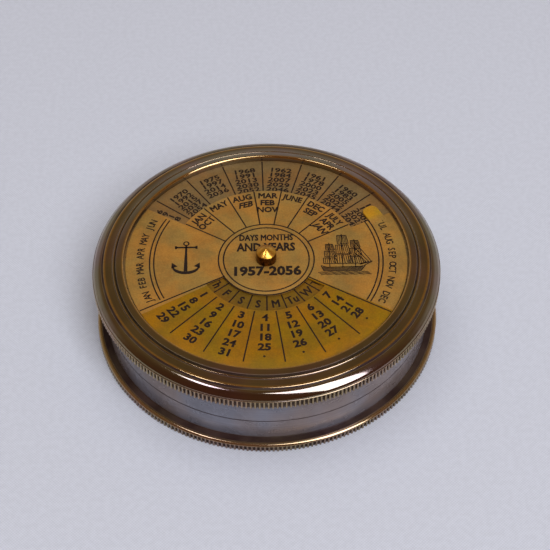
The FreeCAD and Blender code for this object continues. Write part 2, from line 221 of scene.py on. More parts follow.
def lathe_marks(tree, radius, height, pitch_mm):
    """Rings that a turning tool and a polishing cloth leave: noise that changes only with
    radius and height. The pitch is drawn coarser than the real one so that it shows."""
    rings = add(tree, "ShaderNodeCombineXYZ", {"X": radius, "Y": height}).outputs[0]
    marks = add(tree, "ShaderNodeTexNoise", {
        "Vector": rings, "Scale": 1 / (pitch_mm * MM), "Detail": 4.0, "Roughness": 0.6})
    return marks.outputs["Fac"]


def clouded(tree, pattern, low_end, high_end, first, second):
    """Colour that turns from the first to the second where a pattern rises."""
    share = add(tree, "ShaderNodeMapRange", {
        "Value": pattern, "From Min": low_end, "From Max": high_end,
    }, interpolation_type="SMOOTHSTEP").outputs[0]
    return add(tree, "ShaderNodeMix", {0: share, 6: first, 7: second}, data_type="RGBA").outputs[2]


def shaded(tree, colour, tone):
    """Colour made lighter or darker by a tone."""
    grey = add(tree, "ShaderNodeCombineColor", {"Red": tone, "Green": tone, "Blue": tone}).outputs[0]
    product = add(tree, "ShaderNodeMix", {0: 1.0, 6: colour, 7: grey},
                  data_type="RGBA", blend_type="MULTIPLY")
    return product.outputs[2]


def combined(tree, *patterns):
    """Product of two patterns. Each is a value, the two ends of its range, and what it
    gives at those ends."""
    first, second = (
        add(tree, "ShaderNodeMapRange", {
            "Value": value, "From Min": low_end, "From Max": high_end, "To Min": at_low, "To Max": at_high,
        }, interpolation_type="SMOOTHSTEP").outputs[0]
        for value, low_end, high_end, at_low, at_high in patterns)
    return add(tree, "ShaderNodeMath", {0: first, 1: second}, operation="MULTIPLY").outputs[0]


def patchy(tree, amount, pattern, low_end, high_end, least):
    """An amount that a pattern breaks up, down to its least share."""
    share = add(tree, "ShaderNodeMapRange", {
        "Value": pattern, "From Min": low_end, "From Max": high_end, "To Min": least,
    }, interpolation_type="SMOOTHSTEP").outputs[0]
    return add(tree, "ShaderNodeMath", {0: amount, 1: share}, operation="MULTIPLY").outputs[0]


def relief(tree, *layers):
    """Normal of a finely uneven surface. A layer is a pattern, its depth in mm and its strength."""
    normal = None
    for pattern, depth, strength in layers:
        inputs = {"Height": pattern, "Distance": depth * MM, "Strength": strength}
        if normal:
            inputs["Normal"] = normal
        normal = add(tree, "ShaderNodeBump", inputs).outputs["Normal"]
    return normal


def antique_brass(name, reeded_radius=None, rubbed_tips=0.24):
    """Antique brass, turned, browned in a bath and polished back: a dark brown mirror with soft
    maroon and olive clouds, satin grey on the waist, gold where hands rub the edges, nearly
    black in the corners, coves, reed roots and on the flange, which is grime and painted shade."""
    material, tree, shader = start_material(name)
    coordinates, radius, height = place(tree)[:3]
    blotches, drift, specks = (
        add(tree, "ShaderNodeTexNoise", {
            "Vector": coordinates, "Scale": 1 / (size * MM), "Detail": detail, "Roughness": 0.55,
        }).outputs["Fac"]
        for size, detail in ((7.0, 4.0), (17.0, 2.0), (0.5, 2.0)))
    rings = lathe_marks(tree, radius, height, 0.35)
    satin_band = combined(
        tree, (height, (FOOT_HEIGHT + 0.1) * MM, (FOOT_HEIGHT + 0.4) * MM, 0.0, 1.0),
        (height, (RIM_BOTTOM - 0.6) * MM, (RIM_BOTTOM + 0.1) * MM, 1.0, 0.0))
    waist = patchy(tree, satin_band, radius, (BODY_RADIUS - 0.3) * MM, (BODY_RADIUS - 0.15) * MM, 0.0)
    brown = clouded(tree, drift, 0.38, 0.62, chosen("brass_maroon"), chosen("brass_olive"))
    grey = clouded(tree, drift, 0.38, 0.62, chosen("waist_blue"), chosen("waist_grey"))
    colour = add(tree, "ShaderNodeMix", {0: waist, 6: brown, 7: grey}, data_type="RGBA").outputs[2]
    colour = shaded(tree, colour, combined(
        tree, (rings, 0.35, 0.65, 0.9, 1.05), (blotches, 0.3, 0.7, 1.08, 0.86)))
    if reeded_radius is None:
        wear, grime_and_shade = (add(tree, "ShaderNodeAttribute", attribute_name=layer).outputs["Fac"]
                       for layer in ("wear", "grime_and_shade"))
    else:
        # On the reeds the tips are rubbed gold, and the roots between them are darkened: painted shade with
        # some grime.
        tip = reeded_radius * MM
        wear, grime_and_shade = (
            add(tree, "ShaderNodeMapRange", {
                "Value": radius, "From Min": inner, "From Max": outer,
                "To Min": at_inner, "To Max": at_outer,
            }, interpolation_type="SMOOTHSTEP").outputs[0]
            for inner, outer, at_inner, at_outer in (
                (tip - 0.12 * MM, tip, 0.0, rubbed_tips), (tip - 0.36 * MM, tip - 0.16 * MM, 1.0, 0.0)))
    rubbed = patchy(tree, wear, specks, 0.25, 0.6, 0.6)
    # Grime and painted shade, broken up by blotches: it darkens towards a near-black brown and takes away
    # the metal and the coat.
    dirt_and_shade = patchy(tree, grime_and_shade, blotches, 0.3, 0.7, 0.88)
    for share, tint in ((rubbed, "rubbed_gold"), (dirt_and_shade, "brass_grime")):
        colour = add(tree, "ShaderNodeMix", {0: share, 6: colour, 7: chosen(tint)},
                     data_type="RGBA").outputs[2]
    bare = add(tree, "ShaderNodeMath", {0: dirt_and_shade, 1: -0.95, 2: 1.0}, operation="MULTIPLY_ADD").outputs[0]
    polished = add(tree, "ShaderNodeMapRange", {"Value": waist, "To Min": 1.0, "To Max": 0.0},
                   interpolation_type="SMOOTHSTEP").outputs[0]
    coat_share = add(tree, "ShaderNodeMath", {0: polished, 1: 0.5}, operation="MULTIPLY").outputs[0]
    metal_share = add(tree, "ShaderNodeMath", {0: polished, 1: 0.55, 2: 0.45},
                      operation="MULTIPLY_ADD").outputs[0]
    coat, metallic = (add(tree, "ShaderNodeMath", {0: bare, 1: share}, operation="MULTIPLY").outputs[0]
                      for share in (coat_share, metal_share))
    dull = add(tree, "ShaderNodeMapRange", {
        "Value": blotches, "From Min": 0.25, "From Max": 0.75, "To Min": 0.06, "To Max": 0.12,
    }, interpolation_type="SMOOTHSTEP").outputs[0]
    for amount, rougher in ((dirt_and_shade, 0.5), (waist, 0.18)):
        dull = add(tree, "ShaderNodeMath", {0: amount, 1: rougher, 2: dull},
                   operation="MULTIPLY_ADD").outputs[0]
    layers = []
    for pattern, depth, strength in ((rings, 0.004, 0.1), (specks, 0.003, 0.12)):
        masked = add(tree, "ShaderNodeMath", {0: pattern, 1: polished}, operation="MULTIPLY").outputs[0]
        layers.append((masked, depth, strength))
    connect(tree, shader, {
        "Base Color": colour, "Metallic": metallic, "Roughness": dull, "Specular IOR Level": 0.15,
        "Coat Weight": coat, "Coat Roughness": 0.08, "Normal": relief(tree, *layers),
    })
    return material


def polished_brass(name):
    """Yellow brass, turned and polished: bright and warm, with fine rings, a few dull spots, and dark
    painted shade where a piece's grime layer is set.
    """
    material, tree, shader = start_material(name)
    coordinates, radius, height = place(tree)[:3]
    tarnish = add(tree, "ShaderNodeTexNoise", {
        "Vector": coordinates, "Scale": 1 / (1.6 * MM), "Detail": 4.0, "Roughness": 0.55}).outputs["Fac"]
    colour = clouded(tree, tarnish, 0.35, 0.75, linear("#EAAA40"), linear("#B47A24"))
    # The grime layer here is painted shade: on the knob it darkens the foot and the whole side.
    grime_and_shade = add(tree, "ShaderNodeAttribute", attribute_name="grime_and_shade").outputs["Fac"]
    dirt_and_shade = add(tree, "ShaderNodeMath", {0: grime_and_shade, 1: 0.9}, operation="MULTIPLY").outputs[0]
    colour = add(tree, "ShaderNodeMix", {0: dirt_and_shade, 6: colour, 7: linear("#4A2A10")},
                 data_type="RGBA").outputs[2]
    dull = add(tree, "ShaderNodeMapRange", {
        "Value": tarnish, "From Min": 0.3, "From Max": 0.7, "To Min": 0.24, "To Max": 0.38,
    }, interpolation_type="SMOOTHSTEP").outputs[0]
    rings = lathe_marks(tree, radius, height, 0.2)
    connect(tree, shader, {"Base Color": colour, "Metallic": 1.0, "Roughness": dull,
                           "Normal": relief(tree, (rings, 0.004, 0.4))})
    return material


def lacquered_plate(name, main, dates=None, middle=None, fade=None):
    """Etched brass sheet under tinted lacquer: a soft gold with pink and green clouds, a faint
    grain round the centre, and a deeper gold over the columns of dates."""
    material, tree, shader = start_material(name)
    coordinates, radius, height, angle = place(tree)
    clouds, drift, grain = (
        add(tree, "ShaderNodeTexNoise", {
            "Vector": coordinates, "Scale": 1 / (size * MM), "Detail": detail, "Roughness": roughness,
        }).outputs["Fac"]
        for size, detail, roughness in ((5.0, 5.0, 0.65), (9.0, 4.0, 0.6), (0.35, 3.0, 0.55)))
    rings = lathe_marks(tree, radius, height, 0.18)
    colour = main
    if dates:
        from_top = add(tree, "ShaderNodeMath", {0: angle}, operation="ABSOLUTE").outputs[0]
        in_fan, beyond_middle = (
            add(tree, "ShaderNodeMath", {0: value, 1: limit}, operation="GREATER_THAN").outputs[0]
            for value, limit in ((from_top, radians(DATE_FAN_START)),
                                 (radius, WEEKDAY_WINDOW_RADII[0] * MM)))
        dated = add(tree, "ShaderNodeMath", {0: in_fan, 1: beyond_middle}, operation="MULTIPLY").outputs[0]
        colour = add(tree, "ShaderNodeMix", {0: dated, 6: colour, 7: dates}, data_type="RGBA").outputs[2]
    if middle:
        colour = clouded(tree, radius, 15.0 * MM, 18.0 * MM, middle, colour)
    if fade:
        colour = clouded(tree, angle, radians(TONGUE_FADE[0]), radians(TONGUE_FADE[1]), colour, fade)
    stain = clouded(tree, drift, 0.36, 0.62, (1.15, 0.99, 0.75, 1), (0.92, 0.99, 0.98, 1))
    colour = add(tree, "ShaderNodeMix", {0: 1.0, 6: colour, 7: stain},
                 data_type="RGBA", blend_type="MULTIPLY").outputs[2]
    colour = shaded(tree, colour, combined(
        tree, (grain, 0.3, 0.7, 0.88, 1.08), (clouds, 0.32, 0.7, 1.05, 0.78)))
    dull = add(tree, "ShaderNodeMapRange", {
        "Value": clouds, "From Min": 0.3, "From Max": 0.7, "To Min": 0.34, "To Max": 0.48,
    }, interpolation_type="SMOOTHSTEP").outputs[0]
    connect(tree, shader, {
        "Base Color": colour, "Metallic": 0.25, "Roughness": dull, "Specular IOR Level": 0.2,
        "Coat Weight": 0.06, "Coat Roughness": 0.2,
        "Normal": relief(tree, (rings, 0.003, 0.3), (grain, 0.004, 0.3)),
    })
    return material


def etching_fill(name):
    """Dark brown enamel wiped into etched lines: nearly matt, a little uneven."""
    material, tree, shader = start_material(name)
    wiped = add(tree, "ShaderNodeTexNoise", {
        "Vector": place(tree)[0], "Scale": 1 / (0.6 * MM), "Detail": 3.0, "Roughness": 0.55}).outputs["Fac"]
    tone, dull = (
        add(tree, "ShaderNodeMapRange", {
            "Value": wiped, "From Min": 0.3, "From Max": high_end, "To Min": at_low, "To Max": at_high,
        }, interpolation_type="SMOOTHSTEP").outputs[0]
        for high_end, at_low, at_high in ((0.75, 0.7, 1.3), (0.7, 0.5, 0.65)))
    connect(tree, shader, {"Base Color": shaded(tree, chosen("etching"), tone), "Roughness": dull,
                           "Specular IOR Level": 0.2})
    return material


def ground_steel(name):
    """Ground steel: cool grey with fine scratches."""
    material, tree, shader = start_material(name)
    scratches = add(tree, "ShaderNodeTexNoise", {
        "Vector": place(tree)[0], "Scale": 1 / (0.25 * MM), "Detail": 4.0, "Roughness": 0.55}).outputs["Fac"]
    dull = add(tree, "ShaderNodeMapRange", {
        "Value": scratches, "From Min": 0.3, "From Max": 0.7, "To Min": 0.22, "To Max": 0.38,
    }, interpolation_type="SMOOTHSTEP").outputs[0]
    colour = clouded(tree, scratches, 0.3, 0.7, linear("#A5A7AB"), linear("#84868A"))
    connect(tree, shader, {"Base Color": colour, "Metallic": 1.0, "Roughness": dull})
    return material


def clear_glass(name):
    """Flat window glass: clear, with the faint smear of a wiped surface."""
    material, tree, shader = start_material(name)
    smear = add(tree, "ShaderNodeTexNoise", {
        "Vector": place(tree)[0], "Scale": 1 / (9.0 * MM), "Detail": 3.0, "Roughness": 0.55}).outputs["Fac"]
    dull = add(tree, "ShaderNodeMapRange", {
        "Value": smear, "From Min": 0.4, "From Max": 0.8, "To Min": 0.0, "To Max": 0.04,
    }, interpolation_type="SMOOTHSTEP").outputs[0]
    connect(tree, shader, {"Base Color": linear("#F4FAF8"), "Transmission Weight": 1.0, "IOR": 1.5,
                           "Roughness": dull})
    return material


def painted_needle(name):
    """Gloss paint on steel: red on the north half and white on the south half."""
    material, tree, shader = start_material(name)
    coordinates = place(tree)[0]
    parts = add(tree, "ShaderNodeSeparateXYZ", {"Vector": coordinates}).outputs
    north = add(tree, "ShaderNodeMath", {0: parts["Y"], 1: 0.0}, operation="GREATER_THAN").outputs[0]
    chips = add(tree, "ShaderNodeTexNoise", {
        "Vector": coordinates, "Scale": 1 / (0.8 * MM), "Detail": 4.0, "Roughness": 0.55}).outputs["Fac"]
    halves = add(tree, "ShaderNodeMix", {0: north, 6: linear("#D9D4C6"), 7: linear("#A3231B")},
                 data_type="RGBA").outputs[2]
    dull = add(tree, "ShaderNodeMapRange", {
        "Value": chips, "From Min": 0.3, "From Max": 0.7, "To Min": 0.25, "To Max": 0.35,
    }, interpolation_type="SMOOTHSTEP").outputs[0]
    connect(tree, shader, {"Base Color": clouded(tree, chips, 0.68, 0.74, halves, linear("#5C5852")),
                           "Roughness": dull})
    return material


def ruby(name):
    """Synthetic ruby, polished: deep red with a strong gloss."""
    material, tree, shader = start_material(name)
    cloud = add(tree, "ShaderNodeTexNoise", {
        "Vector": place(tree)[0], "Scale": 1 / (0.4 * MM), "Detail": 2.0, "Roughness": 0.55}).outputs["Fac"]
    colour = add(tree, "ShaderNodeMix", {0: cloud, 6: linear("#8A0F25"), 7: linear("#B02038")},
                 data_type="RGBA").outputs[2]
    connect(tree, shader, {"Base Color": colour, "Roughness": 0.08, "IOR": 1.76})
    return material


def backdrop_cloth(name):
    """Pale matt cotton, plain woven. The threads are drawn coarser than the real ones so that
    they show."""
    material, tree, shader = start_material(name)
    coordinates = place(tree)[0]
    fibres = add(tree, "ShaderNodeTexNoise", {
        "Vector": coordinates, "Scale": 1 / (1.2 * MM), "Detail": 3.0, "Roughness": 0.55}).outputs["Fac"]
    parts = add(tree, "ShaderNodeSeparateXYZ", {"Vector": coordinates}).outputs
    threads = []
    for axis in "XY":
        along = add(tree, "ShaderNodeMath", {0: parts[axis], 1: 2 * pi / (0.65 * MM)}, operation="MULTIPLY")
        threads.append(add(tree, "ShaderNodeMath", {0: along.outputs[0]}, operation="SINE").outputs[0])
    weave = add(tree, "ShaderNodeMath", {0: threads[0], 1: threads[1]}, operation="MULTIPLY").outputs[0]
    tone = combined(tree, (weave, -1.0, 1.0, 0.93, 1.06), (fibres, 0.3, 0.7, 1.02, 0.96))
    connect(tree, shader, {
        "Base Color": shaded(tree, chosen("floor"), tone), "Roughness": 0.9, "Specular IOR Level": 0.1,
        "Normal": relief(tree, (fibres, 0.05, 0.2)),
    })
    return material


MATERIALS = {}


def finish_of(name):
    """The material of that name, made when it is first asked for."""
    makers = {
        "antique_brass": lambda: antique_brass("antique_brass_turned"),
        "antique_brass_foot_reeds": lambda: antique_brass("antique_brass_foot_reeds", FOOT_RADIUS, 0.0),
        "antique_brass_rim_reeds": lambda: antique_brass("antique_brass_rim_reeds", RIM_RADIUS),
        "polished_brass": lambda: polished_brass("polished_brass_turned"),
        "date_plate": lambda: lacquered_plate(
            "lacquered_date_plate", chosen("plate_gold"), chosen("date_gold")),
        "year_plate": lambda: lacquered_plate(
            "lacquered_year_plate", chosen("year_gold"), middle=chosen("weekday_gold")),
        "compass_card": lambda: lacquered_plate("lacquered_compass_card", linear("#9C7A3A")),
        "etching": lambda: etching_fill("etching_fill_enamel"),
        "tongue": lambda: lacquered_plate(
            "lacquered_tongue", chosen("tongue_gold"), fade=chosen("plate_gold")),
        "knob": lambda: polished_brass("polished_brass_knob"),
        "steel": lambda: ground_steel("ground_spring_steel"),
        "glass": lambda: clear_glass("flat_window_glass"),
        "needle_paint": lambda: painted_needle("needle_gloss_paint"),
        "ruby": lambda: ruby("synthetic_ruby_polished"),
    }
    if name not in MATERIALS:
        MATERIALS[name] = makers[name]()
    return MATERIALS[name]


# Meshes

def new_object(name, mesh):
    piece = bpy.data.objects.new(name, mesh)
    bpy.context.scene.collection.objects.link(piece)
    return piece


def dress(piece, body, finish, replaces=()):
    """Give a finished piece its material, its body and the nodes it stands for."""
    piece.data.materials.clear()
    piece.data.materials.append(finish_of(finish))
    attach(piece, body)
    if replaces:
        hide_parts(*replaces)
    return piece


def arc_points(start, middle, end, steps=10):
    """Points of the arc from start to end through middle, without its two ends."""
    (ax, ay), (bx, by), (cx, cy) = start, middle, end
    d = 2 * (ax * (by - cy) + bx * (cy - ay) + cx * (ay - by))
    a2, b2, c2 = ax * ax + ay * ay, bx * bx + by * by, cx * cx + cy * cy
    ux = (a2 * (by - cy) + b2 * (cy - ay) + c2 * (ay - by)) / d
    uy = (a2 * (cx - bx) + b2 * (ax - cx) + c2 * (bx - ax)) / d
    radius = hypot(ax - ux, ay - uy)
    first, last = atan2(ay - uy, ax - ux), atan2(cy - uy, cx - ux)
    sweep = (last - first + pi) % (2 * pi) - pi
    points = []
    for i in range(1, steps):
        turn = first + sweep * i / steps
        points.append((ux + radius * cos(turn), uy + radius * sin(turn)))
    return points


def soften(outline, fillet=0.06, halo=0.09):
    """Round each corner of a closed outline. Every point of the result carries how worn it is
    (outward corners) and how dark its grime and painted shade are (inward corners). A third item of a point
    is its wear, and a point with its own wear and shade stays as it is."""
    count = len(outline)
    area = sum(outline[i - 1][0] * outline[i][1] - outline[i][0] * outline[i - 1][1] for i in range(count))
    result = []
    for i in range(count):
        r, z = outline[i][:2]
        if len(outline[i]) == 4 or r < 1e-6:
            result.append((r, z, *outline[i][2:]) if len(outline[i]) == 4 else (r, z, 0.0, 0.0))
            continue
        back = Vector(outline[i - 1][:2]) - Vector((r, z))
        ahead = Vector(outline[(i + 1) % count][:2]) - Vector((r, z))
        turn = back.x * ahead.y - back.y * ahead.x
        straight = back.normalized().dot(ahead.normalized()) < -0.995
        if straight or back.length < 1e-6 or ahead.length < 1e-6:
            result.append((r, z, 0.0, 0.0))
            continue
        outward = (turn < 0) == (area > 0)
        worn = outline[i][2] if len(outline[i]) == 3 else 0.12
        wear, grime_and_shade = (worn, 0.0) if outward else (0.0, 1.0)
        cut = min(fillet, back.length * 0.4, ahead.length * 0.4)
        far_back = min(cut + halo, back.length * 0.48)
        far_ahead = min(cut + halo, ahead.length * 0.48)
        corner = Vector((r, z))
        b, a = back.normalized(), ahead.normalized()
        result.append((*(corner + b * far_back), 0.0, 0.0))
        for t in (0.0, 0.33, 0.67, 1.0):
            p = (1 - t) ** 2 * (corner + b * cut) + 2 * t * (1 - t) * corner + t * t * (corner + a * cut)
            result.append((p.x, p.y, wear, grime_and_shade))
        result.append((*(corner + a * far_ahead), 0.0, 0.0))
    return result


def turned(name, outline, segments=SEGMENTS, fillet=0.06):
    """Mesh of a closed outline turned about the axis, with wear, and grime and painted shade, on its
    corners.
    """
    points = soften(outline, fillet)
    vertices, faces = [], []
    for r, z, wear, grime_and_shade in points:
        for s in range(segments):
            turn = 2 * pi * s / segments
            vertices.append((r * cos(turn) * MM, r * sin(turn) * MM, z * MM))
    count = len(points)
    for i in range(count):
        j = (i + 1) % count
        if points[i][0] < 1e-6 and points[j][0] < 1e-6:
            continue
        for s in range(segments):
            n = (s + 1) % segments
            faces.append((i * segments + s, i * segments + n, j * segments + n, j * segments + s))
    mesh = bpy.data.meshes.new(name)
    mesh.from_pydata(vertices, [], faces)
    for layer, item in (("wear", 2), ("grime_and_shade", 3)):
        values = [point[item] for point in points for _ in range(segments)]
        mesh.attributes.new(layer, "FLOAT", "POINT").data.foreach_set("value", values)
    tidy_mesh(mesh, 1e-7)
    return new_object(name, mesh)


def tidy_mesh(mesh, distance):
    """Merge doubles, turn the faces outwards and shade them smooth up to the sharp edges."""
    work = bmesh.new()
    work.from_mesh(mesh)
    bmesh.ops.remove_doubles(work, verts=work.verts, dist=distance)
    bmesh.ops.dissolve_degenerate(work, edges=work.edges, dist=distance / 10)
    bmesh.ops.recalc_face_normals(work, faces=work.faces)
    work.to_mesh(mesh)
    work.free()
    for polygon in mesh.polygons:
        polygon.use_smooth = True
    mesh.set_sharp_from_angle(angle=SHARP_ANGLE)
    mesh.update()


def dial_point(radius, angle, height=0.0):
    turn = radians(angle)
    return Vector((radius * sin(turn), radius * cos(turn), height))


def sector_outline(inner, outer, start, end, step=1.5):
    """Corner points of a piece of ring between two dial angles."""
    count = max(2, ceil(abs(end - start) / step))
    angles = [start + (end - start) * i / count for i in range(count + 1)]
    return ([dial_point(outer, a) for a in angles]
            + [dial_point(inner, a) for a in reversed(angles)])


def slab_mesh(loops, bottom, thickness, bevel):
    """Sheet with holes: flat closed loops in mm, filled, given a thickness and broken edges."""
    curve = bpy.data.curves.new("sheet", "CURVE")
    curve.dimensions = "2D"
    curve.fill_mode = "BOTH"
    curve.extrude = thickness / 2 - bevel
    curve.bevel_depth = bevel
    curve.bevel_resolution = 1
    for loop in loops:
        spline = curve.splines.new("POLY")
        spline.points.add(len(loop) - 1)
        for target, source in zip(spline.points, loop):
            target.co = (source.x, source.y, 0, 1)
        spline.use_cyclic_u = True
    curve.offset = -bevel
    holder = bpy.data.objects.new("sheet", curve)
    mesh = bpy.data.meshes.new_from_object(holder)
    bpy.data.objects.remove(holder)
    bpy.data.curves.remove(curve)
    mesh.transform(Matrix.Scale(MM, 4) @ Matrix.Translation((0, 0, bottom + thickness / 2)))
    return mesh


def joined(name, meshes):
    """One object of several meshes."""
    work = bmesh.new()
    for mesh in meshes:
        work.from_mesh(mesh)
        bpy.data.meshes.remove(mesh)
    whole = bpy.data.meshes.new(name)
    work.to_mesh(whole)
    work.free()
    return new_object(name, whole)


def polar_sheet(radii, angles, is_open, bottom, thickness, bevel):
    """Sheet on a grid of rings and dial angles, open in the cells that is_open names, with
    its edges broken."""
    work = bmesh.new()
    grid = [[work.verts.new(dial_point(radius, angle, bottom)) for angle in angles] for radius in radii]
    count = len(angles)
    for i in range(len(radii) - 1):
        for j in range(count):
            n = (j + 1) % count
            if not is_open((radii[i] + radii[i + 1]) / 2, angles[j] + 0.01):
                work.faces.new((grid[i][j], grid[i + 1][j], grid[i + 1][n], grid[i][n]))
    bmesh.ops.delete(work, geom=[v for v in work.verts if not v.link_faces], context="VERTS")
    raised = bmesh.ops.extrude_face_region(work, geom=work.faces[:])
    lifted = [v for v in raised["geom"] if isinstance(v, bmesh.types.BMVert)]
    bmesh.ops.translate(work, verts=lifted, vec=(0, 0, thickness))
    bmesh.ops.recalc_face_normals(work, faces=work.faces)
    rims = [e for e in work.edges
            if e.is_manifold and e.calc_face_angle() > radians(60) and e.verts[0].co.z == e.verts[1].co.z]
    bmesh.ops.bevel(work, geom=rims, offset=bevel, segments=2, affect="EDGES", profile=0.5)
    mesh = bpy.data.meshes.new("sheet")
    work.to_mesh(mesh)
    work.free()
    mesh.transform(Matrix.Scale(MM, 4))
    return mesh


# Lettering and lines of the dials

TEXT_CACHE = {}


def text_mesh(words, weight=0.0, slant=0.0):
    """Lettering one unit high, centred on the origin, thickened by weight, solid and closed."""
    key = (words, weight, slant)
    if key not in TEXT_CACHE:
        curve = bpy.data.curves.new("letters", "FONT")
        curve.body = words
        curve.size = 1.466
        curve.shear = slant
        curve.align_x = "CENTER"
        curve.resolution_u = 2
        holder = bpy.data.objects.new("letters", curve)
        mesh = bpy.data.meshes.new_from_object(holder)
        bpy.data.objects.remove(holder)
        bpy.data.curves.remove(curve)
        work = bmesh.new()
        work.from_mesh(mesh)
        bmesh.ops.remove_doubles(work, verts=work.verts, dist=1e-4)
        embolden(work, weight)
        raised = bmesh.ops.extrude_face_region(work, geom=work.faces[:])
        lifted = [v for v in raised["geom"] if isinstance(v, bmesh.types.BMVert)]
        bmesh.ops.translate(work, verts=work.verts, vec=(0, -0.5, -0.5))
        bmesh.ops.translate(work, verts=lifted, vec=(0, 0, 1))
        bmesh.ops.recalc_face_normals(work, faces=work.faces)
        work.to_mesh(mesh)
        work.free()
        TEXT_CACHE[key] = mesh
    return TEXT_CACHE[key]


def embolden(work, weight):
    """Push the outlines of flat letters outwards."""
    moves = []
    for vertex in work.verts:
        sides = []
        for loop in vertex.link_loops:
            for side in (loop, loop.link_loop_prev):
                if side.edge.is_boundary:
                    along = side.link_loop_next.vert.co - side.vert.co
                    turned_right = 1 if side.face.normal.z > 0 else -1
                    sides.append(Vector((along.y, -along.x, 0)).normalized() * turned_right)
        total = sum(sides, Vector())
        if total.length > 1e-6:
            moves.append((vertex, total.normalized() * weight / max(0.6, total.length / len(sides))))
    for vertex, move in moves:
        vertex.co += move


def put_text(marks, words, radius, angle, size, top, outward=True, weight=0.035, slant=0.0, squeeze=0.82):
    """Add lettering to a list of marks, with its tops away from the centre or towards it."""
    mesh = text_mesh(words, weight, slant).copy()
    turn = -radians(angle) + (0 if outward else pi)
    at = dial_point(radius, angle, top + INK_HEIGHT / 2)
    scale = Matrix.Diagonal((size * squeeze, size, INK_HEIGHT, 1))
    mesh.transform(Matrix.Translation(at) @ Matrix.Rotation(turn, 4, "Z") @ scale)
    marks.append(mesh)


def put_arc_text(marks, words, radius, middle, size, top, pitch, **style):
    """Add letters one by one along an arc, read clockwise, centred on an angle."""
    step = degrees(pitch / radius)
    for i, letter in enumerate(words):
        if letter != " ":
            put_text(marks, letter, radius, middle + (i - (len(words) - 1) / 2) * step,
                     size, top, **style)


def put_shape(marks, corners, top):
    """Add a flat filled shape from its corners in mm."""
    work = bmesh.new()
    lower = [work.verts.new((x, y, top)) for x, y in corners]
    face = work.faces.new(lower)
    grown = bmesh.ops.extrude_face_region(work, geom=[face])
    lifted = [v for v in grown["geom"] if isinstance(v, bmesh.types.BMVert)]
    bmesh.ops.translate(work, verts=lifted, vec=(0, 0, INK_HEIGHT))
    bmesh.ops.recalc_face_normals(work, faces=work.faces)
    mesh = bpy.data.meshes.new("mark")
    work.to_mesh(mesh)
    work.free()
    marks.append(mesh)


def put_line(marks, start, end, top, width=LINE_WIDTH):
    """Add a straight stroke between two points in mm."""
    along = Vector((end[0] - start[0], end[1] - start[1]))
    side = Vector((-along.y, along.x)).normalized() * width / 2
    put_shape(marks, [(start[0] + side.x, start[1] + side.y), (start[0] - side.x, start[1] - side.y),
                      (end[0] - side.x, end[1] - side.y), (end[0] + side.x, end[1] + side.y)], top)


def put_radial(marks, inner, outer, angle, top, width=LINE_WIDTH):
    a, b = dial_point(inner, angle), dial_point(outer, angle)
    put_line(marks, (a.x, a.y), (b.x, b.y), top, width)


def put_arc(marks, radius, start, end, top, width=LINE_WIDTH):
    """Add a curved stroke round the centre."""
    for i in range(ceil((end - start) / 12)):
        a = start + 12 * i
        b = min(a + 12, end)
        outline = sector_outline(radius - width / 2, radius + width / 2, a, b)
        put_shape(marks, [(p.x, p.y) for p in outline], top)


def put_path(marks, points, top, width):
    """Add a stroke that follows points in mm."""
    for a, b in zip(points, points[1:]):
        put_line(marks, a, b, top, width)


def marking_piece(name, marks, body):
    """One piece of all the marks of a plate. Each mark is in mm."""
    piece = joined(name, marks)
    piece.data.transform(Matrix.Scale(MM, 4))
    return dress(piece, body, "etching")


# Geometry node trees

def new_tree(name, sizes):
    """Geometry node tree with named number inputs and one geometry output."""
    tree = bpy.data.node_groups.new(name, "GeometryNodeTree")
    tree.interface.new_socket("Geometry", in_out="OUTPUT", socket_type="NodeSocketGeometry")
    sockets = {}
    for size, kind in sizes.items():
        sockets[size] = tree.interface.new_socket(size, in_out="INPUT", socket_type=kind)
    material = tree.interface.new_socket("Material", in_out="INPUT", socket_type="NodeSocketMaterial")
    sockets["Material"] = material
    return tree, {n: s.identifier for n, s in sockets.items()}


def end_tree(tree, geometry):
    """Finish a tree with real geometry and its material."""
    given = next(n for n in tree.nodes if n.type == "GROUP_INPUT")
    real = add(tree, "GeometryNodeRealizeInstances", {"Geometry": geometry})
    painted = add(tree, "GeometryNodeSetMaterial", {
        "Geometry": real.outputs[0], "Material": given.outputs["Material"]})
    result = add(tree, "NodeGroupOutput")
    tree.links.new(painted.outputs[0], result.inputs[0])


def grown(name, tree, identifiers, values, body, slot, finish):
    """Plain mesh of a geometry node tree with these input values, ridden on its body."""
    mesh = bpy.data.meshes.new(name)
    holder = new_object(name + "_source", mesh)
    modifier = holder.modifiers.new("nodes", "NODES")
    modifier.node_group = tree
    for size, value in values.items():
        modifier[identifiers[size]] = value
    modifier[identifiers["Material"]] = finish_of(finish)
    bpy.context.view_layer.update()
    evaluated = holder.evaluated_get(bpy.context.evaluated_depsgraph_get())
    result = bpy.data.meshes.new_from_object(evaluated)
    holder.modifiers.remove(modifier)
    bpy.data.objects.remove(holder)
    tidy_mesh(result, 1e-8)
    return dress(new_object(name, result), body, finish)


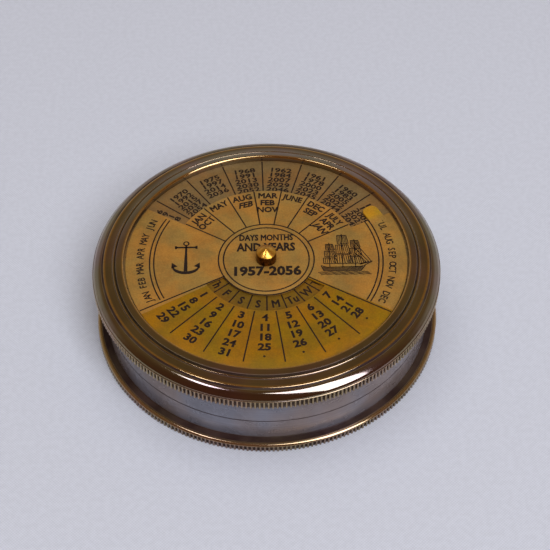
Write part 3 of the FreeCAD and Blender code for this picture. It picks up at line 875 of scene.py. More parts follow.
def reeding_tree():
    """Upright ridges in a ring, as a straight knurl rolls them."""
    tree, identifiers = new_tree("reeding", {
        "Count": "NodeSocketInt", "Root Radius": "NodeSocketFloat", "Depth": "NodeSocketFloat",
        "Bottom": "NodeSocketFloat", "Height": "NodeSocketFloat", "Width": "NodeSocketFloat",
    })
    given = add(tree, "NodeGroupInput").outputs
    ring = add(tree, "GeometryNodeMeshCircle", {"Vertices": given["Count"], "Radius": given["Root Radius"]})
    ridge = add(tree, "GeometryNodeMeshCylinder", {
        "Vertices": 10, "Radius": 1.0, "Depth": 1.0, "Side Segments": 1}, fill_type="NGON")
    half_width = add(tree, "ShaderNodeMath", {0: given["Width"], 1: 0.5}, operation="MULTIPLY")
    scale = add(tree, "ShaderNodeCombineXYZ", {
        "X": given["Depth"], "Y": half_width.outputs[0], "Z": given["Height"]})
    position = add(tree, "GeometryNodeInputPosition")
    facing = add(tree, "FunctionNodeAlignRotationToVector", {"Vector": position.outputs[0]}, axis="X")
    ridges = add(tree, "GeometryNodeInstanceOnPoints", {
        "Points": ring.outputs["Mesh"], "Instance": ridge.outputs["Mesh"],
        "Rotation": facing.outputs["Rotation"], "Scale": scale.outputs[0]})
    half_height = add(tree, "ShaderNodeMath", {0: given["Height"], 1: 0.5}, operation="MULTIPLY")
    middle = add(tree, "ShaderNodeMath", {0: given["Bottom"], 1: half_height.outputs[0]}, operation="ADD")
    lift = add(tree, "ShaderNodeCombineXYZ", {"Z": middle.outputs[0]})
    raised = add(tree, "GeometryNodeSetPosition", {
        "Geometry": ridges.outputs[0], "Offset": lift.outputs[0]})
    end_tree(tree, raised.outputs[0])
    return tree, identifiers


def thread_tree():
    """Screw thread: a pointed ridge along a helix."""
    tree, identifiers = new_tree("screw thread", {
        "Radius": "NodeSocketFloat", "Depth": "NodeSocketFloat", "Pitch": "NodeSocketFloat",
        "Turns": "NodeSocketFloat", "Bottom": "NodeSocketFloat",
    })
    given = add(tree, "NodeGroupInput").outputs
    rise = add(tree, "ShaderNodeMath", {0: given["Pitch"], 1: given["Turns"]}, operation="MULTIPLY")
    helix = add(tree, "GeometryNodeCurveSpiral", {
        "Resolution": 180, "Rotations": given["Turns"], "Start Radius": given["Radius"],
        "End Radius": given["Radius"], "Height": rise.outputs[0]})
    lift = add(tree, "ShaderNodeCombineXYZ", {"Z": given["Bottom"]})
    raised = add(tree, "GeometryNodeSetPosition", {"Geometry": helix.outputs[0], "Offset": lift.outputs[0]})
    ridge = add(tree, "GeometryNodeCurvePrimitiveCircle", {"Resolution": 4, "Radius": given["Depth"]})
    swept = add(tree, "GeometryNodeCurveToMesh", {
        "Curve": raised.outputs[0], "Profile Curve": ridge.outputs[0], "Fill Caps": True})
    end_tree(tree, swept.outputs[0])
    return tree, identifiers


def tick_tree():
    """Graduation: short strokes round a circle."""
    tree, identifiers = new_tree("graduation", {
        "Count": "NodeSocketInt", "Radius": "NodeSocketFloat", "Length": "NodeSocketFloat",
        "Width": "NodeSocketFloat", "Height": "NodeSocketFloat", "Bottom": "NodeSocketFloat",
    })
    given = add(tree, "NodeGroupInput").outputs
    ring = add(tree, "GeometryNodeMeshCircle", {"Vertices": given["Count"], "Radius": given["Radius"]})
    size = add(tree, "ShaderNodeCombineXYZ", {
        "X": given["Length"], "Y": given["Width"], "Z": given["Height"]})
    stroke = add(tree, "GeometryNodeMeshCube", {"Size": size.outputs[0]})
    position = add(tree, "GeometryNodeInputPosition")
    facing = add(tree, "FunctionNodeAlignRotationToVector", {"Vector": position.outputs[0]}, axis="X")
    strokes = add(tree, "GeometryNodeInstanceOnPoints", {
        "Points": ring.outputs["Mesh"], "Instance": stroke.outputs["Mesh"],
        "Rotation": facing.outputs["Rotation"]})
    lift = add(tree, "ShaderNodeCombineXYZ", {"Z": given["Bottom"]})
    raised = add(tree, "GeometryNodeSetPosition", {
        "Geometry": strokes.outputs[0], "Offset": lift.outputs[0]})
    end_tree(tree, raised.outputs[0])
    return tree, identifiers


# Calendar rule

WEEKDAYS = ("S", "M", "Tu", "W", "Th", "F", "S")   # Sunday first
MONTH_COLUMNS = (
    (("JAN", 0), ("OCT", 0)), (("MAY", 0),), (("AUG", 0), ("FEB", 1)),
    (("MAR", 0), ("FEB", 0), ("NOV", 0)), (("JUNE", 0),), (("DEC", 0), ("SEP", 0)),
    (("JULY", 0), ("APR", 0), ("JAN", 1)),
)   # 1 marks the slanted months that serve leap years


def march_weekday(year):
    """Weekday of 1 March, with Sunday as 0. It sets the column of a year."""
    return (datetime.date(year, 3, 1).weekday() + 1) % 7


def year_columns():
    """The years of each of the 21 columns. Column k is k steps clockwise from +Y. A column
    holds the years of one weekday rule, and every third of them, so that three like columns
    share all the years of that rule."""
    columns = []
    for k in range(21):
        rule = (4 - k) % 7
        years = [y for y in range(FIRST_YEAR, FIRST_YEAR + YEAR_COUNT) if march_weekday(y) == rule]
        columns.append([y for i, y in enumerate(years) if i % 3 == k // 7])
    return columns


# Operators, one for each piece or group of like pieces

class CALENDAR_OT_box_base(bpy.types.Operator):
    """Box base: reeded foot with a bead, waist, shoulder and threaded neck"""
    bl_idname = "calendar.box_base"
    bl_label = "Box base"

    def execute(self, context):
        root = FOOT_RADIUS - REED_DEPTH
        bead_outer = FOOT_RADIUS - 2 * EDGE_BREAK
        bead_inner = bead_outer - FOOT_BEAD_WIDTH
        bead_low, bead_top = (FOOT_RADIUS, FOOT_HEIGHT - 0.3), (FOOT_RADIUS - 0.3, FOOT_HEIGHT + 0.04)
        bead_high = (bead_inner, FOOT_HEIGHT + 0.02)
        thread_root = NECK_RADIUS - THREAD_DEPTH
        # The fourth item of a point is grime and painted shade: dark reed roots, a dark flange at the
        # waist's foot and a dark seam.
        outline = [
            (0, 0), (root - EDGE_BREAK, 0), (root, EDGE_BREAK, 0.0, 0.9), (root, FOOT_REED_TOP, 0.0, 1.0),
            (FOOT_RADIUS, FOOT_REED_TOP, 0.2), (FOOT_RADIUS, bead_low[1], 0.4),
            *[(r, z, 0.5, 0.1) for r, z in arc_points(bead_low, bead_top, bead_high, 8)],
            (*bead_high, 0.0, 0.7), (bead_inner - 0.1, FOOT_HEIGHT, 0.0, 1.0),
            (BODY_RADIUS + 0.5, FOOT_HEIGHT, 0.0, 1.0), (BODY_RADIUS + 0.1, FOOT_HEIGHT + 0.03, 0.0, 1.0),
            (BODY_RADIUS, FOOT_HEIGHT + 0.12, 0.0, 1.0), (BODY_RADIUS, FOOT_HEIGHT + 0.3, 0.0, 0.0),
            (BODY_RADIUS, SEAM - 0.2, 0.0, 0.0), (BODY_RADIUS, SEAM - SEAM_BREAK, 0.0, 0.8),
            (BODY_RADIUS - SEAM_BREAK, SEAM, 0.0, 1.0), (NECK_RADIUS, SEAM),
            (NECK_RADIUS, SEAM + 0.5), (thread_root, SEAM + 0.8),
            (thread_root, NECK_TOP - 0.7), (NECK_RADIUS - 0.3, NECK_TOP - 0.4),
            (NECK_RADIUS - 0.3, NECK_TOP - 0.1), (NECK_RADIUS - 0.4, NECK_TOP),
            (WELL_RADIUS + EDGE_BREAK, NECK_TOP), (WELL_RADIUS, NECK_TOP - EDGE_BREAK),
            (WELL_RADIUS, GLASS_TOP + 0.65), (WELL_RADIUS + 0.3, GLASS_TOP + 0.65),
            (WELL_RADIUS + 0.3, GLASS_TOP), (WELL_RADIUS, GLASS_TOP),
            (WELL_RADIUS, BASE_FLOOR), (0, BASE_FLOOR),
        ]
        dress(turned("base_cup_turned", outline), "base", "antique_brass", ["base_cup"])
        sizes = context.scene.calendar_sizes
        reeds("foot_reeds", "base", FOOT_RADIUS, EDGE_BREAK, FOOT_REED_TOP, sizes.reed_count,
              "antique_brass_foot_reeds")
        tree, identifiers = thread_tree()
        turns = (NECK_TOP - SEAM - 2.0) / THREAD_PITCH
        grown("neck_thread", tree, identifiers, {
            "Radius": thread_root * MM, "Depth": THREAD_DEPTH * MM, "Pitch": THREAD_PITCH * MM,
            "Turns": turns, "Bottom": (SEAM + 1.0) * MM,
        }, "base", "aged_brass", "polished_brass")
        return {"FINISHED"}


def reeds(name, body, radius, bottom, top, count, finish):
    """Ring of ridges that fills the band between two heights, up to this radius."""
    tree, identifiers = reeding_tree()
    root = radius - REED_DEPTH
    width = 2 * pi * root / count * REED_SHARE
    return grown(name, tree, identifiers, {
        "Count": count, "Root Radius": root * MM, "Depth": REED_DEPTH * 0.98 * MM,
        "Bottom": bottom * MM, "Height": (top - bottom) * MM, "Width": width * MM,
    }, body, "aged_brass", finish)


class CALENDAR_OT_lid(bpy.types.Operator):
    """Lid: threaded skirt, reeded rim, rounded shoulder, cove, beaded face and dial seat"""
    bl_idname = "calendar.lid"
    bl_label = "Lid"

    def execute(self, context):
        root = RIM_RADIUS - REED_DEPTH
        shoulder = (RIM_RADIUS - EDGE_BREAK, RIM_TOP)
        shoulder_middle = (shoulder[0] - 0.68, RIM_TOP + 0.93)
        cove = (shoulder[0] - 1.85, RIM_TOP + 1.44)
        cove_middle = (shoulder[0] - 2.12, RIM_TOP + 1.45)
        crest = (shoulder[0] - 2.35, RIM_TOP + 1.65)
        seat = RING_RADIUS + SEAT_FIT
        bead_inner = seat + EDGE_BREAK
        bead_outer = bead_inner + FACE_BEAD_WIDTH
        thread_root = LID_BORE + THREAD_DEPTH
        # The fourth item of a point is grime and painted shade: dark seam, reed roots, cove and ring seat.
        outline = [(BODY_RADIUS - SEAM_BREAK, LID_BOTTOM, 0.0, 1.0),
                   (BODY_RADIUS, LID_BOTTOM + SEAM_BREAK, 0.0, 0.8),
                   (BODY_RADIUS, LID_BOTTOM + 0.2, 0.0, 0.0),
                   (BODY_RADIUS, RIM_BOTTOM), (root - EDGE_BREAK, RIM_BOTTOM),
                   (root, RIM_BOTTOM + EDGE_BREAK, 0.0, 0.9), (root, RIM_REED_TOP, 0.0, 1.0),
                   (RIM_RADIUS, RIM_REED_TOP, 0.2), (RIM_RADIUS, RIM_TOP - EDGE_BREAK / 2, 0.5),
                   (*shoulder, 0.15)]
        outline += [(r, z, 0.0, 0.0) for r, z in arc_points(shoulder, shoulder_middle, cove, 16)]
        outline.append((*cove, 0.0, 0.6))
        outline += [(r, z, 0.0, 1.0) for r, z in arc_points(cove, cove_middle, crest, 10)]
        outline += [(crest[0] + 0.06, crest[1] - 0.05, 0.5, 0.0), (crest[0] - 0.02, crest[1], 0.9, 0.0),
                    (crest[0] - 0.25, crest[1], 0.8, 0.0), (crest[0] - 0.5, crest[1], 0.0, 0.0),
                    (bead_outer, FACE_TOP), (bead_outer - BEAD_RISE, FACE_TOP + BEAD_RISE, 0.45),
                    (bead_inner + BEAD_RISE, FACE_TOP + BEAD_RISE, 0.3),
                    (seat, FACE_TOP - EDGE_BREAK, 0.0, 1.0), (seat, LID_FLOOR_TOP),
                    (BUSH_RADIUS, LID_FLOOR_TOP), (BUSH_RADIUS, LID_CEILING),
                    (LID_BORE, LID_CEILING), (LID_BORE, LID_CEILING - 2.4),
                    (thread_root, LID_CEILING - 2.8), (thread_root, LID_BOTTOM + 0.9),
                    (LID_BORE, LID_BOTTOM + 0.5), (LID_BORE, LID_BOTTOM)]
        dress(turned("lid_cap_turned", outline), "lid", "antique_brass", ["lid_cap"])
        sizes = context.scene.calendar_sizes
        reeds("rim_reeds", "lid", RIM_RADIUS, RIM_BOTTOM + EDGE_BREAK, RIM_REED_TOP,
              sizes.reed_count, "antique_brass_rim_reeds")
        tree, identifiers = thread_tree()
        turns = (LID_CEILING - LID_BOTTOM - 4.6) / THREAD_PITCH
        grown("lid_thread", tree, identifiers, {
            "Radius": thread_root * MM, "Depth": THREAD_DEPTH * MM, "Pitch": THREAD_PITCH * MM,
            "Turns": turns, "Bottom": (LID_BOTTOM + 1.4) * MM,
        }, "lid", "aged_brass", "polished_brass")
        return {"FINISHED"}


class CALENDAR_OT_dial_ring(bpy.types.Operator):
    """Ring that holds the year plate in the lid"""
    bl_idname = "calendar.dial_ring"
    bl_label = "Dial ring"

    def execute(self, context):
        top = high("dial_ring")
        outline = [
            (RING_INNER, YEAR_TOP), (RING_RADIUS, YEAR_TOP), (RING_RADIUS, top - 0.3, 0.0, 1.0),
            (RING_RADIUS - 0.06, top - 0.22, 0.0, 0.6), (RING_RADIUS - 0.2, top - 0.18, 0.0, 0.0),
            (RING_INNER + 0.5, top - 0.03, 0.0, 0.0),
            (RING_INNER + 0.35, top, 0.8, 0.0),
            *[(r, z, 1.0, 0.0) for r, z in arc_points(
                (RING_INNER + 0.3, top), (RING_INNER + 0.09, top - 0.09), (RING_INNER, top - 0.3), 8)],
            (RING_INNER, top - 0.35, 0.8, 0.0), (RING_INNER, top - 0.6, 0.0, 0.3),
        ]
        dress(turned("dial_ring_turned", outline), "lid", "antique_brass", ["dial_ring"])
        return {"FINISHED"}


class CALENDAR_OT_year_plate(bpy.types.Operator):
    """Fixed lower plate, with the years by column and the weekdays, both read through windows"""
    bl_idname = "calendar.year_plate"
    bl_label = "Year plate"

    def execute(self, context):
        outline = [(YEAR_PLATE_HOLE, LID_FLOOR_TOP), (RING_RADIUS, LID_FLOOR_TOP),
                   (RING_RADIUS, YEAR_TOP), (YEAR_PLATE_HOLE, YEAR_TOP)]
        plate = turned("year_plate_sheet", outline, fillet=0.03)
        dress(plate, "lid", "year_plate", ["year_plate"])
        marks = []
        top = YEAR_TOP - INK_SINK
        for k, years in enumerate(year_columns()):
            line = YEAR_LINE_START + COLUMN_STEP * k
            put_radial(marks, *YEAR_LINE_RADII, line, top)
            for row, year in enumerate(years):
                put_text(marks, str(year), YEAR_RADII[row], line + COLUMN_STEP / 2, 1.25, top,
                         weight=0.045, squeeze=1.4)
        for k in range(21):
            middle = WEEKDAY_FRIDAY + COLUMN_STEP * k
            put_radial(marks, *WEEKDAY_LINE_RADII, middle - COLUMN_STEP / 2, top)
            put_text(marks, WEEKDAYS[(5 - k) % 7], WEEKDAY_RADIUS, middle, 1.9, top,
                     outward=False, weight=0.05, squeeze=0.85)
        marking_piece("year_plate_marks", marks, "lid")
        return {"FINISHED"}


def in_a_window(radius, angle):
    """Whether a place on the date plate is open."""
    in_years = radius > YEAR_WINDOW_RADIUS and YEAR_WINDOW_START < angle < YEAR_WINDOW_END
    inner, outer = WEEKDAY_WINDOW_RADII
    return in_years or (inner < radius < outer and WEEKDAY_WINDOW_START < angle < WEEKDAY_WINDOW_END)


def tongue_mesh(thickness):
    """Tab with rounded corners that reaches into the year window. It stands up there, and runs
    down under the top of the plate at its root."""
    inner = TONGUE_OUTER - TONGUE_WIDTH
    tip = YEAR_WINDOW_END - TONGUE_REACH
    step = degrees(TONGUE_CORNER / TONGUE_OUTER)
    side_angles = [tip + step + (TONGUE_LENGTH - step) * i / 14 for i in range(15)]
    outline = [dial_point(TONGUE_OUTER, angle) for angle in side_angles]
    outline += [dial_point(inner, angle) for angle in reversed(side_angles)]
    for side, reach_in in ((inner, TONGUE_CORNER), (TONGUE_OUTER, -TONGUE_CORNER)):
        rounding = [(step * (1 - sin(t)), reach_in * (1 - cos(t)))
                    for t in (radians(15 * i) for i in range(1, 7))]
        ends = [dial_point(side + offset, tip + turn) for turn, offset in rounding]
        outline += ends if side == inner else ends[::-1]
    tongue = slab_mesh([outline], DATE_BOTTOM, thickness + TONGUE_RISE, 0.08)
    middle = DATE_BOTTOM * MM + (thickness + TONGUE_RISE / 2) * MM / 2
    for vertex in tongue.vertices:
        along = degrees(atan2(vertex.co.x, vertex.co.y)) - YEAR_WINDOW_END
        if vertex.co.z > middle and along > 0:
            vertex.co.z -= (TONGUE_RISE + 0.01) * MM * min(1.0, along / 3.0)
    tidy_mesh(tongue, 1e-7)
    return tongue


class CALENDAR_OT_date_plate(bpy.types.Operator):
    """Turning upper plate, with its two windows, tongue, months, dates and pictures"""
    bl_idname = "calendar.date_plate"
    bl_label = "Date plate"

    def execute(self, context):
        breaks = [YEAR_WINDOW_START, YEAR_WINDOW_END, WEEKDAY_WINDOW_START, WEEKDAY_WINDOW_END,
                  360 + YEAR_WINDOW_START]
        angles = []
        for start, end in zip(breaks, breaks[1:]):
            steps = ceil((end - start) / 1.5)
            angles += [start + (end - start) * i / steps for i in range(steps)]
        radii = [DATE_PLATE_HOLE, 6.0, *WEEKDAY_WINDOW_RADII, YEAR_WINDOW_RADIUS, 25.5, DATE_RADIUS]
        thickness = high("date_plate") - DATE_BOTTOM - TONGUE_RISE
        sheet = polar_sheet(radii, angles, in_a_window, DATE_BOTTOM, thickness, 0.05)
        tidy_mesh(sheet, 1e-7)
        piece = new_object("date_plate_sheet", sheet)
        dress(piece, "date_dial", "date_plate", ["date_plate"])
        dress(new_object("date_plate_tongue", tongue_mesh(thickness)), "date_dial",
              "tongue")
        marks = []
        top = DATE_TOP - INK_SINK
        draw_months(marks, top)
        draw_dates(marks, top)
        draw_borders(marks, top)
        draw_middle(marks, top)
        draw_anchor(marks, top)
        draw_ship(marks, top)
        marking_piece("date_plate_marks", marks, "date_dial")
        return {"FINISHED"}


def draw_months(marks, top):
    """Month columns under the year window."""
    for m in range(8):
        put_radial(marks, *MONTH_LINE_RADII, MONTH_LINE_START + COLUMN_STEP * m, top)
    for m, names in enumerate(MONTH_COLUMNS):
        middle = MONTH_LINE_START + COLUMN_STEP * (m + 0.5)
        for row, (month, leap) in enumerate(names):
            put_text(marks, month, MONTH_RADII[row], middle, 1.5, top, weight=0.06,
                     slant=0.35 * leap, squeeze=0.95 if len(month) == 3 else 0.86)


def draw_dates(marks, top):
    """Date columns under the weekday window."""
    first = DATE_MIDDLE + 3.5 * DATE_STEP
    for k in range(8):
        inner, outer = (10.4, 30.2) if k in (0, 7) else (14.9, 28.6)
        put_radial(marks, inner, outer, first - DATE_STEP * k, top)
    for day in range(1, 32):
        row, column = divmod(day - 1, 7)
        angle = first - DATE_STEP * (column + 0.5)
        put_text(marks, str(day), DATE_RADII[row], angle, 1.7, top, outward=False, weight=0.065,
                 squeeze=1.12)
    for column in range(3, 7):
        angle = first - DATE_STEP * (column + 0.5)
        centre = dial_point(26.9, angle)
        put_shape(marks, [(centre.x + DOT_RADIUS * cos(t), centre.y + DOT_RADIUS * sin(t))
                          for t in (2 * pi * i / 8 for i in range(8))], top)


def draw_borders(marks, top):
    """Double rings and arcs round the fields, and the months of the year in the outer bands."""
    for radius in MIDDLE_RING_RADII:
        put_arc(marks, radius, 0, 360, top)
    for radius in BAND_LINE_RADII:
        put_arc(marks, radius, 243.5, 299.5, top)
        put_arc(marks, radius, 63.5, 120.0, top)
    for words, middle in (("JAN FEB MAR APR MAY JUN", 270.0), ("JUL AUG SEP OCT NOV DEC", 92.0)):
        put_arc_text(marks, words, BAND_TEXT_RADIUS, middle, 1.5, top, 1.08, squeeze=0.8)


def draw_middle(marks, top):
    """Words and the range of years round the knob."""
    for words, height, size, squeeze in (
            ("DAYS MONTHS", 6.3, 1.6, 0.72),
            ("AND YEARS", 3.5, 2.15, 0.75),
            (str(FIRST_YEAR) + "-" + str(FIRST_YEAR + YEAR_COUNT - 1), -3.45, 2.35, 1.0)):
        mesh = text_mesh(words, 0.065).copy()
        scale = Matrix.Diagonal((size * squeeze, size, INK_HEIGHT, 1))
        mesh.transform(Matrix.Translation((0, height, top + INK_HEIGHT / 2)) @ scale)
        marks.append(mesh)


def moved(points, x, y=0.0):
    return [(x + a, y + b) for a, b in points]


def draw_anchor(marks, top):
    """Anchor on the left field: shank, stock, two arms with flukes, and ring."""
    x = -17.3
    ring_height, ring_outer, ring_inner = 4.85, 0.7, 0.4
    put_shape(marks, moved([(-0.2, 4.2), (0.2, 4.2), (0.42, -3.2), (-0.42, -3.2)], x), top)
    put_shape(marks, moved([(-2.2, 3.5), (2.2, 3.5), (2.2, 3.95), (-2.2, 3.95)], x), top)
    for side in (-1, 1):
        knob = [(side * 2.0, 3.3), (side * 2.45, 3.3), (side * 2.45, 4.15), (side * 2.0, 4.15)]
        put_shape(marks, moved(knob[::side], x), top)
        outer, inner = ([(side * width * sin(t), rise - depth * (0.55 + 0.45 * cos(t)))
                         for t in (radians(a) for a in range(0, 91, 15))]
                        for width, rise, depth in ((2.9, 0.35, 4.4), (2.75, 0.75, 4.0)))
        for i in range(6):
            put_shape(marks, moved([outer[i], outer[i + 1], inner[i + 1], inner[i]], x), top)
        fluke = [(side * 3.0, -0.7), (side * 1.75, -1.75), (side * 3.1, -2.35)]
        put_shape(marks, moved(fluke[::side], x), top)
    for i in range(16):
        a, b = 2 * pi * i / 16, 2 * pi * (i + 1) / 16
        corners = [(radius * cos(t), ring_height + radius * sin(t))
                   for radius, t in ((ring_outer, a), (ring_outer, b), (ring_inner, b), (ring_inner, a))]
        put_shape(marks, moved(corners, x), top)


def draw_ship(marks, top):
    """Sailing ship on the right field: hull, three masts with square sails, jibs and waves."""
    at = (16.6, -3.2)
    fine = 0.2
    hull = [(-4.9, 1.0), (-4.3, -0.6), (3.6, -0.6), (4.6, 0.9), (3.4, 0.6), (-3.6, 0.5)]
    put_path(marks, moved(hull + hull[:1], *at), top, fine)
    for i in range(4):
        plank = [(-4.6 + 0.1 * i, 0.5 - 0.28 * i), (4.2 - 0.15 * i, 0.5 - 0.28 * i)]
        put_path(marks, moved(plank, *at), top, fine)
    put_path(marks, moved([(4.4, 0.9), (6.2, 2.1)], *at), top, fine)
    for mast, height, width in ((-3.0, 7.6, 1.5), (-0.2, 10.2, 1.9), (2.5, 8.6, 1.6)):
        put_path(marks, moved([(mast, 0.5), (mast, height)], *at), top, fine)
        sail_top = height - 0.4
        for level in range(3):
            upper = sail_top - level * (height - 1.6) / 3
            lower = upper - (height - 1.6) / 3 + 0.35
            wide = width * (0.62 + 0.2 * level)
            corners = [(mast - wide * 0.85, upper), (mast + wide * 0.85, upper),
                       (mast + wide + 0.25, lower), (mast - wide + 0.25, lower)]
            put_path(marks, moved(corners + corners[:1], *at), top, fine)
            for i in range(1, 7):
                t = i / 7
                a = (corners[0][0] + (corners[1][0] - corners[0][0]) * t, upper)
                b = (corners[3][0] + (corners[2][0] - corners[3][0]) * t, lower + (0.25 if i % 2 else 0))
                put_path(marks, moved([a, b], *at), top, fine * 0.8)
    for tip in (7.8, 6.0, 4.4):
        jib = [(2.6, tip), (6.0 - (7.8 - tip) * 0.35, 2.0), (3.4, 1.2)]
        put_path(marks, moved(jib, *at), top, fine)
    for i in range(3):
        wave = [(-5.6 + 0.9 * k + 0.3 * i, -0.95 - 0.32 * i + (0.12 if k % 2 else -0.06)) for k in range(13)]
        put_path(marks, moved(wave, *at), top, fine * 0.8)


class CALENDAR_OT_spindle(bpy.types.Operator):
    """Knob, spindle, bush, washers and nut that carry the date plate"""
    bl_idname = "calendar.spindle"
    bl_label = "Spindle and knob"

    def execute(self, context):
        top = high("turning_knob") - KNOB_CONE
        bore_top = DATE_TOP + KNOB_BORE_DEPTH
        # The fourth item of a point darkens the knob's foot and side up to its top edge: painted shade.
        outline = [
            (DATE_PLATE_HOLE, DATE_TOP, 0.0, 1.0), (KNOB_RADIUS, DATE_TOP, 0.0, 1.0),
            (KNOB_RADIUS, DATE_TOP + 0.1, 0.0, 1.0), (KNOB_RADIUS - 0.05, top - EDGE_BREAK - 0.05, 0.0, 1.0),
            (KNOB_RADIUS - 0.1, top - EDGE_BREAK / 2, 0.0, 0.5), (KNOB_RADIUS - 0.2, top, 0.0, 0.0),
            (0.25, top + 0.88, 0.0, 0.0), (0, top + 0.95), (0, bore_top), (DATE_PLATE_HOLE, bore_top),
        ]
        knob = turned("turning_knob_turned", outline, segments=96, fillet=0.1)
        dress(knob, "date_dial", "knob", ["turning_knob"])
        for node, finish in (("spindle", "polished_brass"), ("spindle_bush", "polished_brass"),
                             ("flat_washer", "polished_brass"), ("spindle_nut", "polished_brass"),
                             ("spring_washer", "steel")):
            paint_node(node, finish)
        return {"FINISHED"}


def paint_node(node, finish):
    """Give a node of the frame, whose shape is kept, a finished material."""
    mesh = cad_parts[node].data
    mesh.materials.clear()
    mesh.materials.append(finish_of(finish))


class CALENDAR_OT_compass(bpy.types.Operator):
    """Compass under glass in the box base: card with its rose, pivot, needle, sleeve and glass"""
    bl_idname = "calendar.compass"
    bl_label = "Compass"

    def execute(self, context):
        outer = WELL_RADIUS - SEAT_FIT
        card_outline = [(CARD_HOLE, BASE_FLOOR), (outer, BASE_FLOOR), (outer, CARD_TOP),
                        (CARD_HOLE, CARD_TOP)]
        card = turned("compass_card_sheet", card_outline, fillet=0.03)
        dress(card, "base", "compass_card", ["compass_card"])
        draw_rose(CARD_TOP - INK_SINK)
        inner = WELL_RADIUS - SPACER_WALL
        sleeve = [(inner - EDGE_BREAK, CARD_TOP), (outer, CARD_TOP), (outer, GLASS_BOTTOM),
                  (inner + EDGE_BREAK, GLASS_BOTTOM)]
        dress(turned("spacer_ring_turned", sleeve), "base", "polished_brass",
              ["spacer_ring"])
        glass = [(0, GLASS_BOTTOM), (outer, GLASS_BOTTOM), (outer, GLASS_TOP), (0, GLASS_TOP)]
        dress(turned("compass_glass_disc", glass), "base", "glass", ["compass_glass"])
        for node, finish in (("pivot_seat", "polished_brass"), ("pivot_pin", "steel"),
                             ("glass_ring", "polished_brass"), ("needle_hub", "polished_brass"),
                             ("needle_jewel", "ruby")):
            paint_node(node, finish)
        low_corner, high_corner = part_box("needle_blade")
        length, width = high_corner.y / MM, high_corner.x / MM
        blade = [Vector(p) for p in ((width, 0), (0.3, length - 0.3), (0, length), (-0.3, length - 0.3),
                                     (-width, 0), (-0.3, 0.3 - length), (0, -length), (0.3, 0.3 - length))]
        hub = [dial_point(1.55, 12 * i) for i in range(30)]
        thickness = (high_corner.z - low_corner.z) / MM
        mesh = slab_mesh([blade, hub], low_corner.z / MM, thickness, 0.05)
        tidy_mesh(mesh, 1e-7)
        dress(new_object("needle_blade_sheet", mesh), "needle", "needle_paint",
              ["needle_blade"])
        return {"FINISHED"}


def draw_rose(top):
    """Compass rose: eight split points, a ring of degrees and the four letters."""
    marks = []
    for i in range(8):
        length = 17.5 if i % 2 == 0 else 11.5
        tip = dial_point(length, 45 * i)
        foot, right, left = (dial_point(radius, 45 * i + turn)
                             for radius, turn in ((0.9, 22.5), (3.6, 22.5), (3.6, -22.5)))
        put_shape(marks, [(foot.x, foot.y), (tip.x * 0.08, tip.y * 0.08), (tip.x, tip.y),
                          (right.x, right.y)], top)
        put_path(marks, [(tip.x, tip.y), (left.x, left.y)], top, FINE_LINE)
    for radius in ROSE_RING_RADII:
        put_arc(marks, radius, 0, 360, top, FINE_LINE)
    for letter, angle in (("N", 0), ("E", 90), ("S", 180), ("W", 270)):
        put_text(marks, letter, 22.1, angle, 3.0, top, weight=0.03)
    for angle in range(0, 360, 30):
        put_text(marks, str(angle), 26.6, angle, 1.5, top, weight=0.02)
    marking_piece("compass_rose_marks", marks, "base")
    tree, identifiers = tick_tree()
    for name, count, length, width in (("compass_degree_ticks", 180, 0.8, 0.12),
                                       ("compass_ten_degree_ticks", 36, 1.5, 0.22)):
        grown(name, tree, identifiers, {
            "Count": count, "Radius": (ROSE_RING_RADII[-1] - length / 2) * MM, "Length": length * MM,
            "Width": width * MM, "Height": INK_HEIGHT * MM, "Bottom": (top + INK_HEIGHT / 2) * MM,
        }, "base", "etched_brass_plate", "etching")


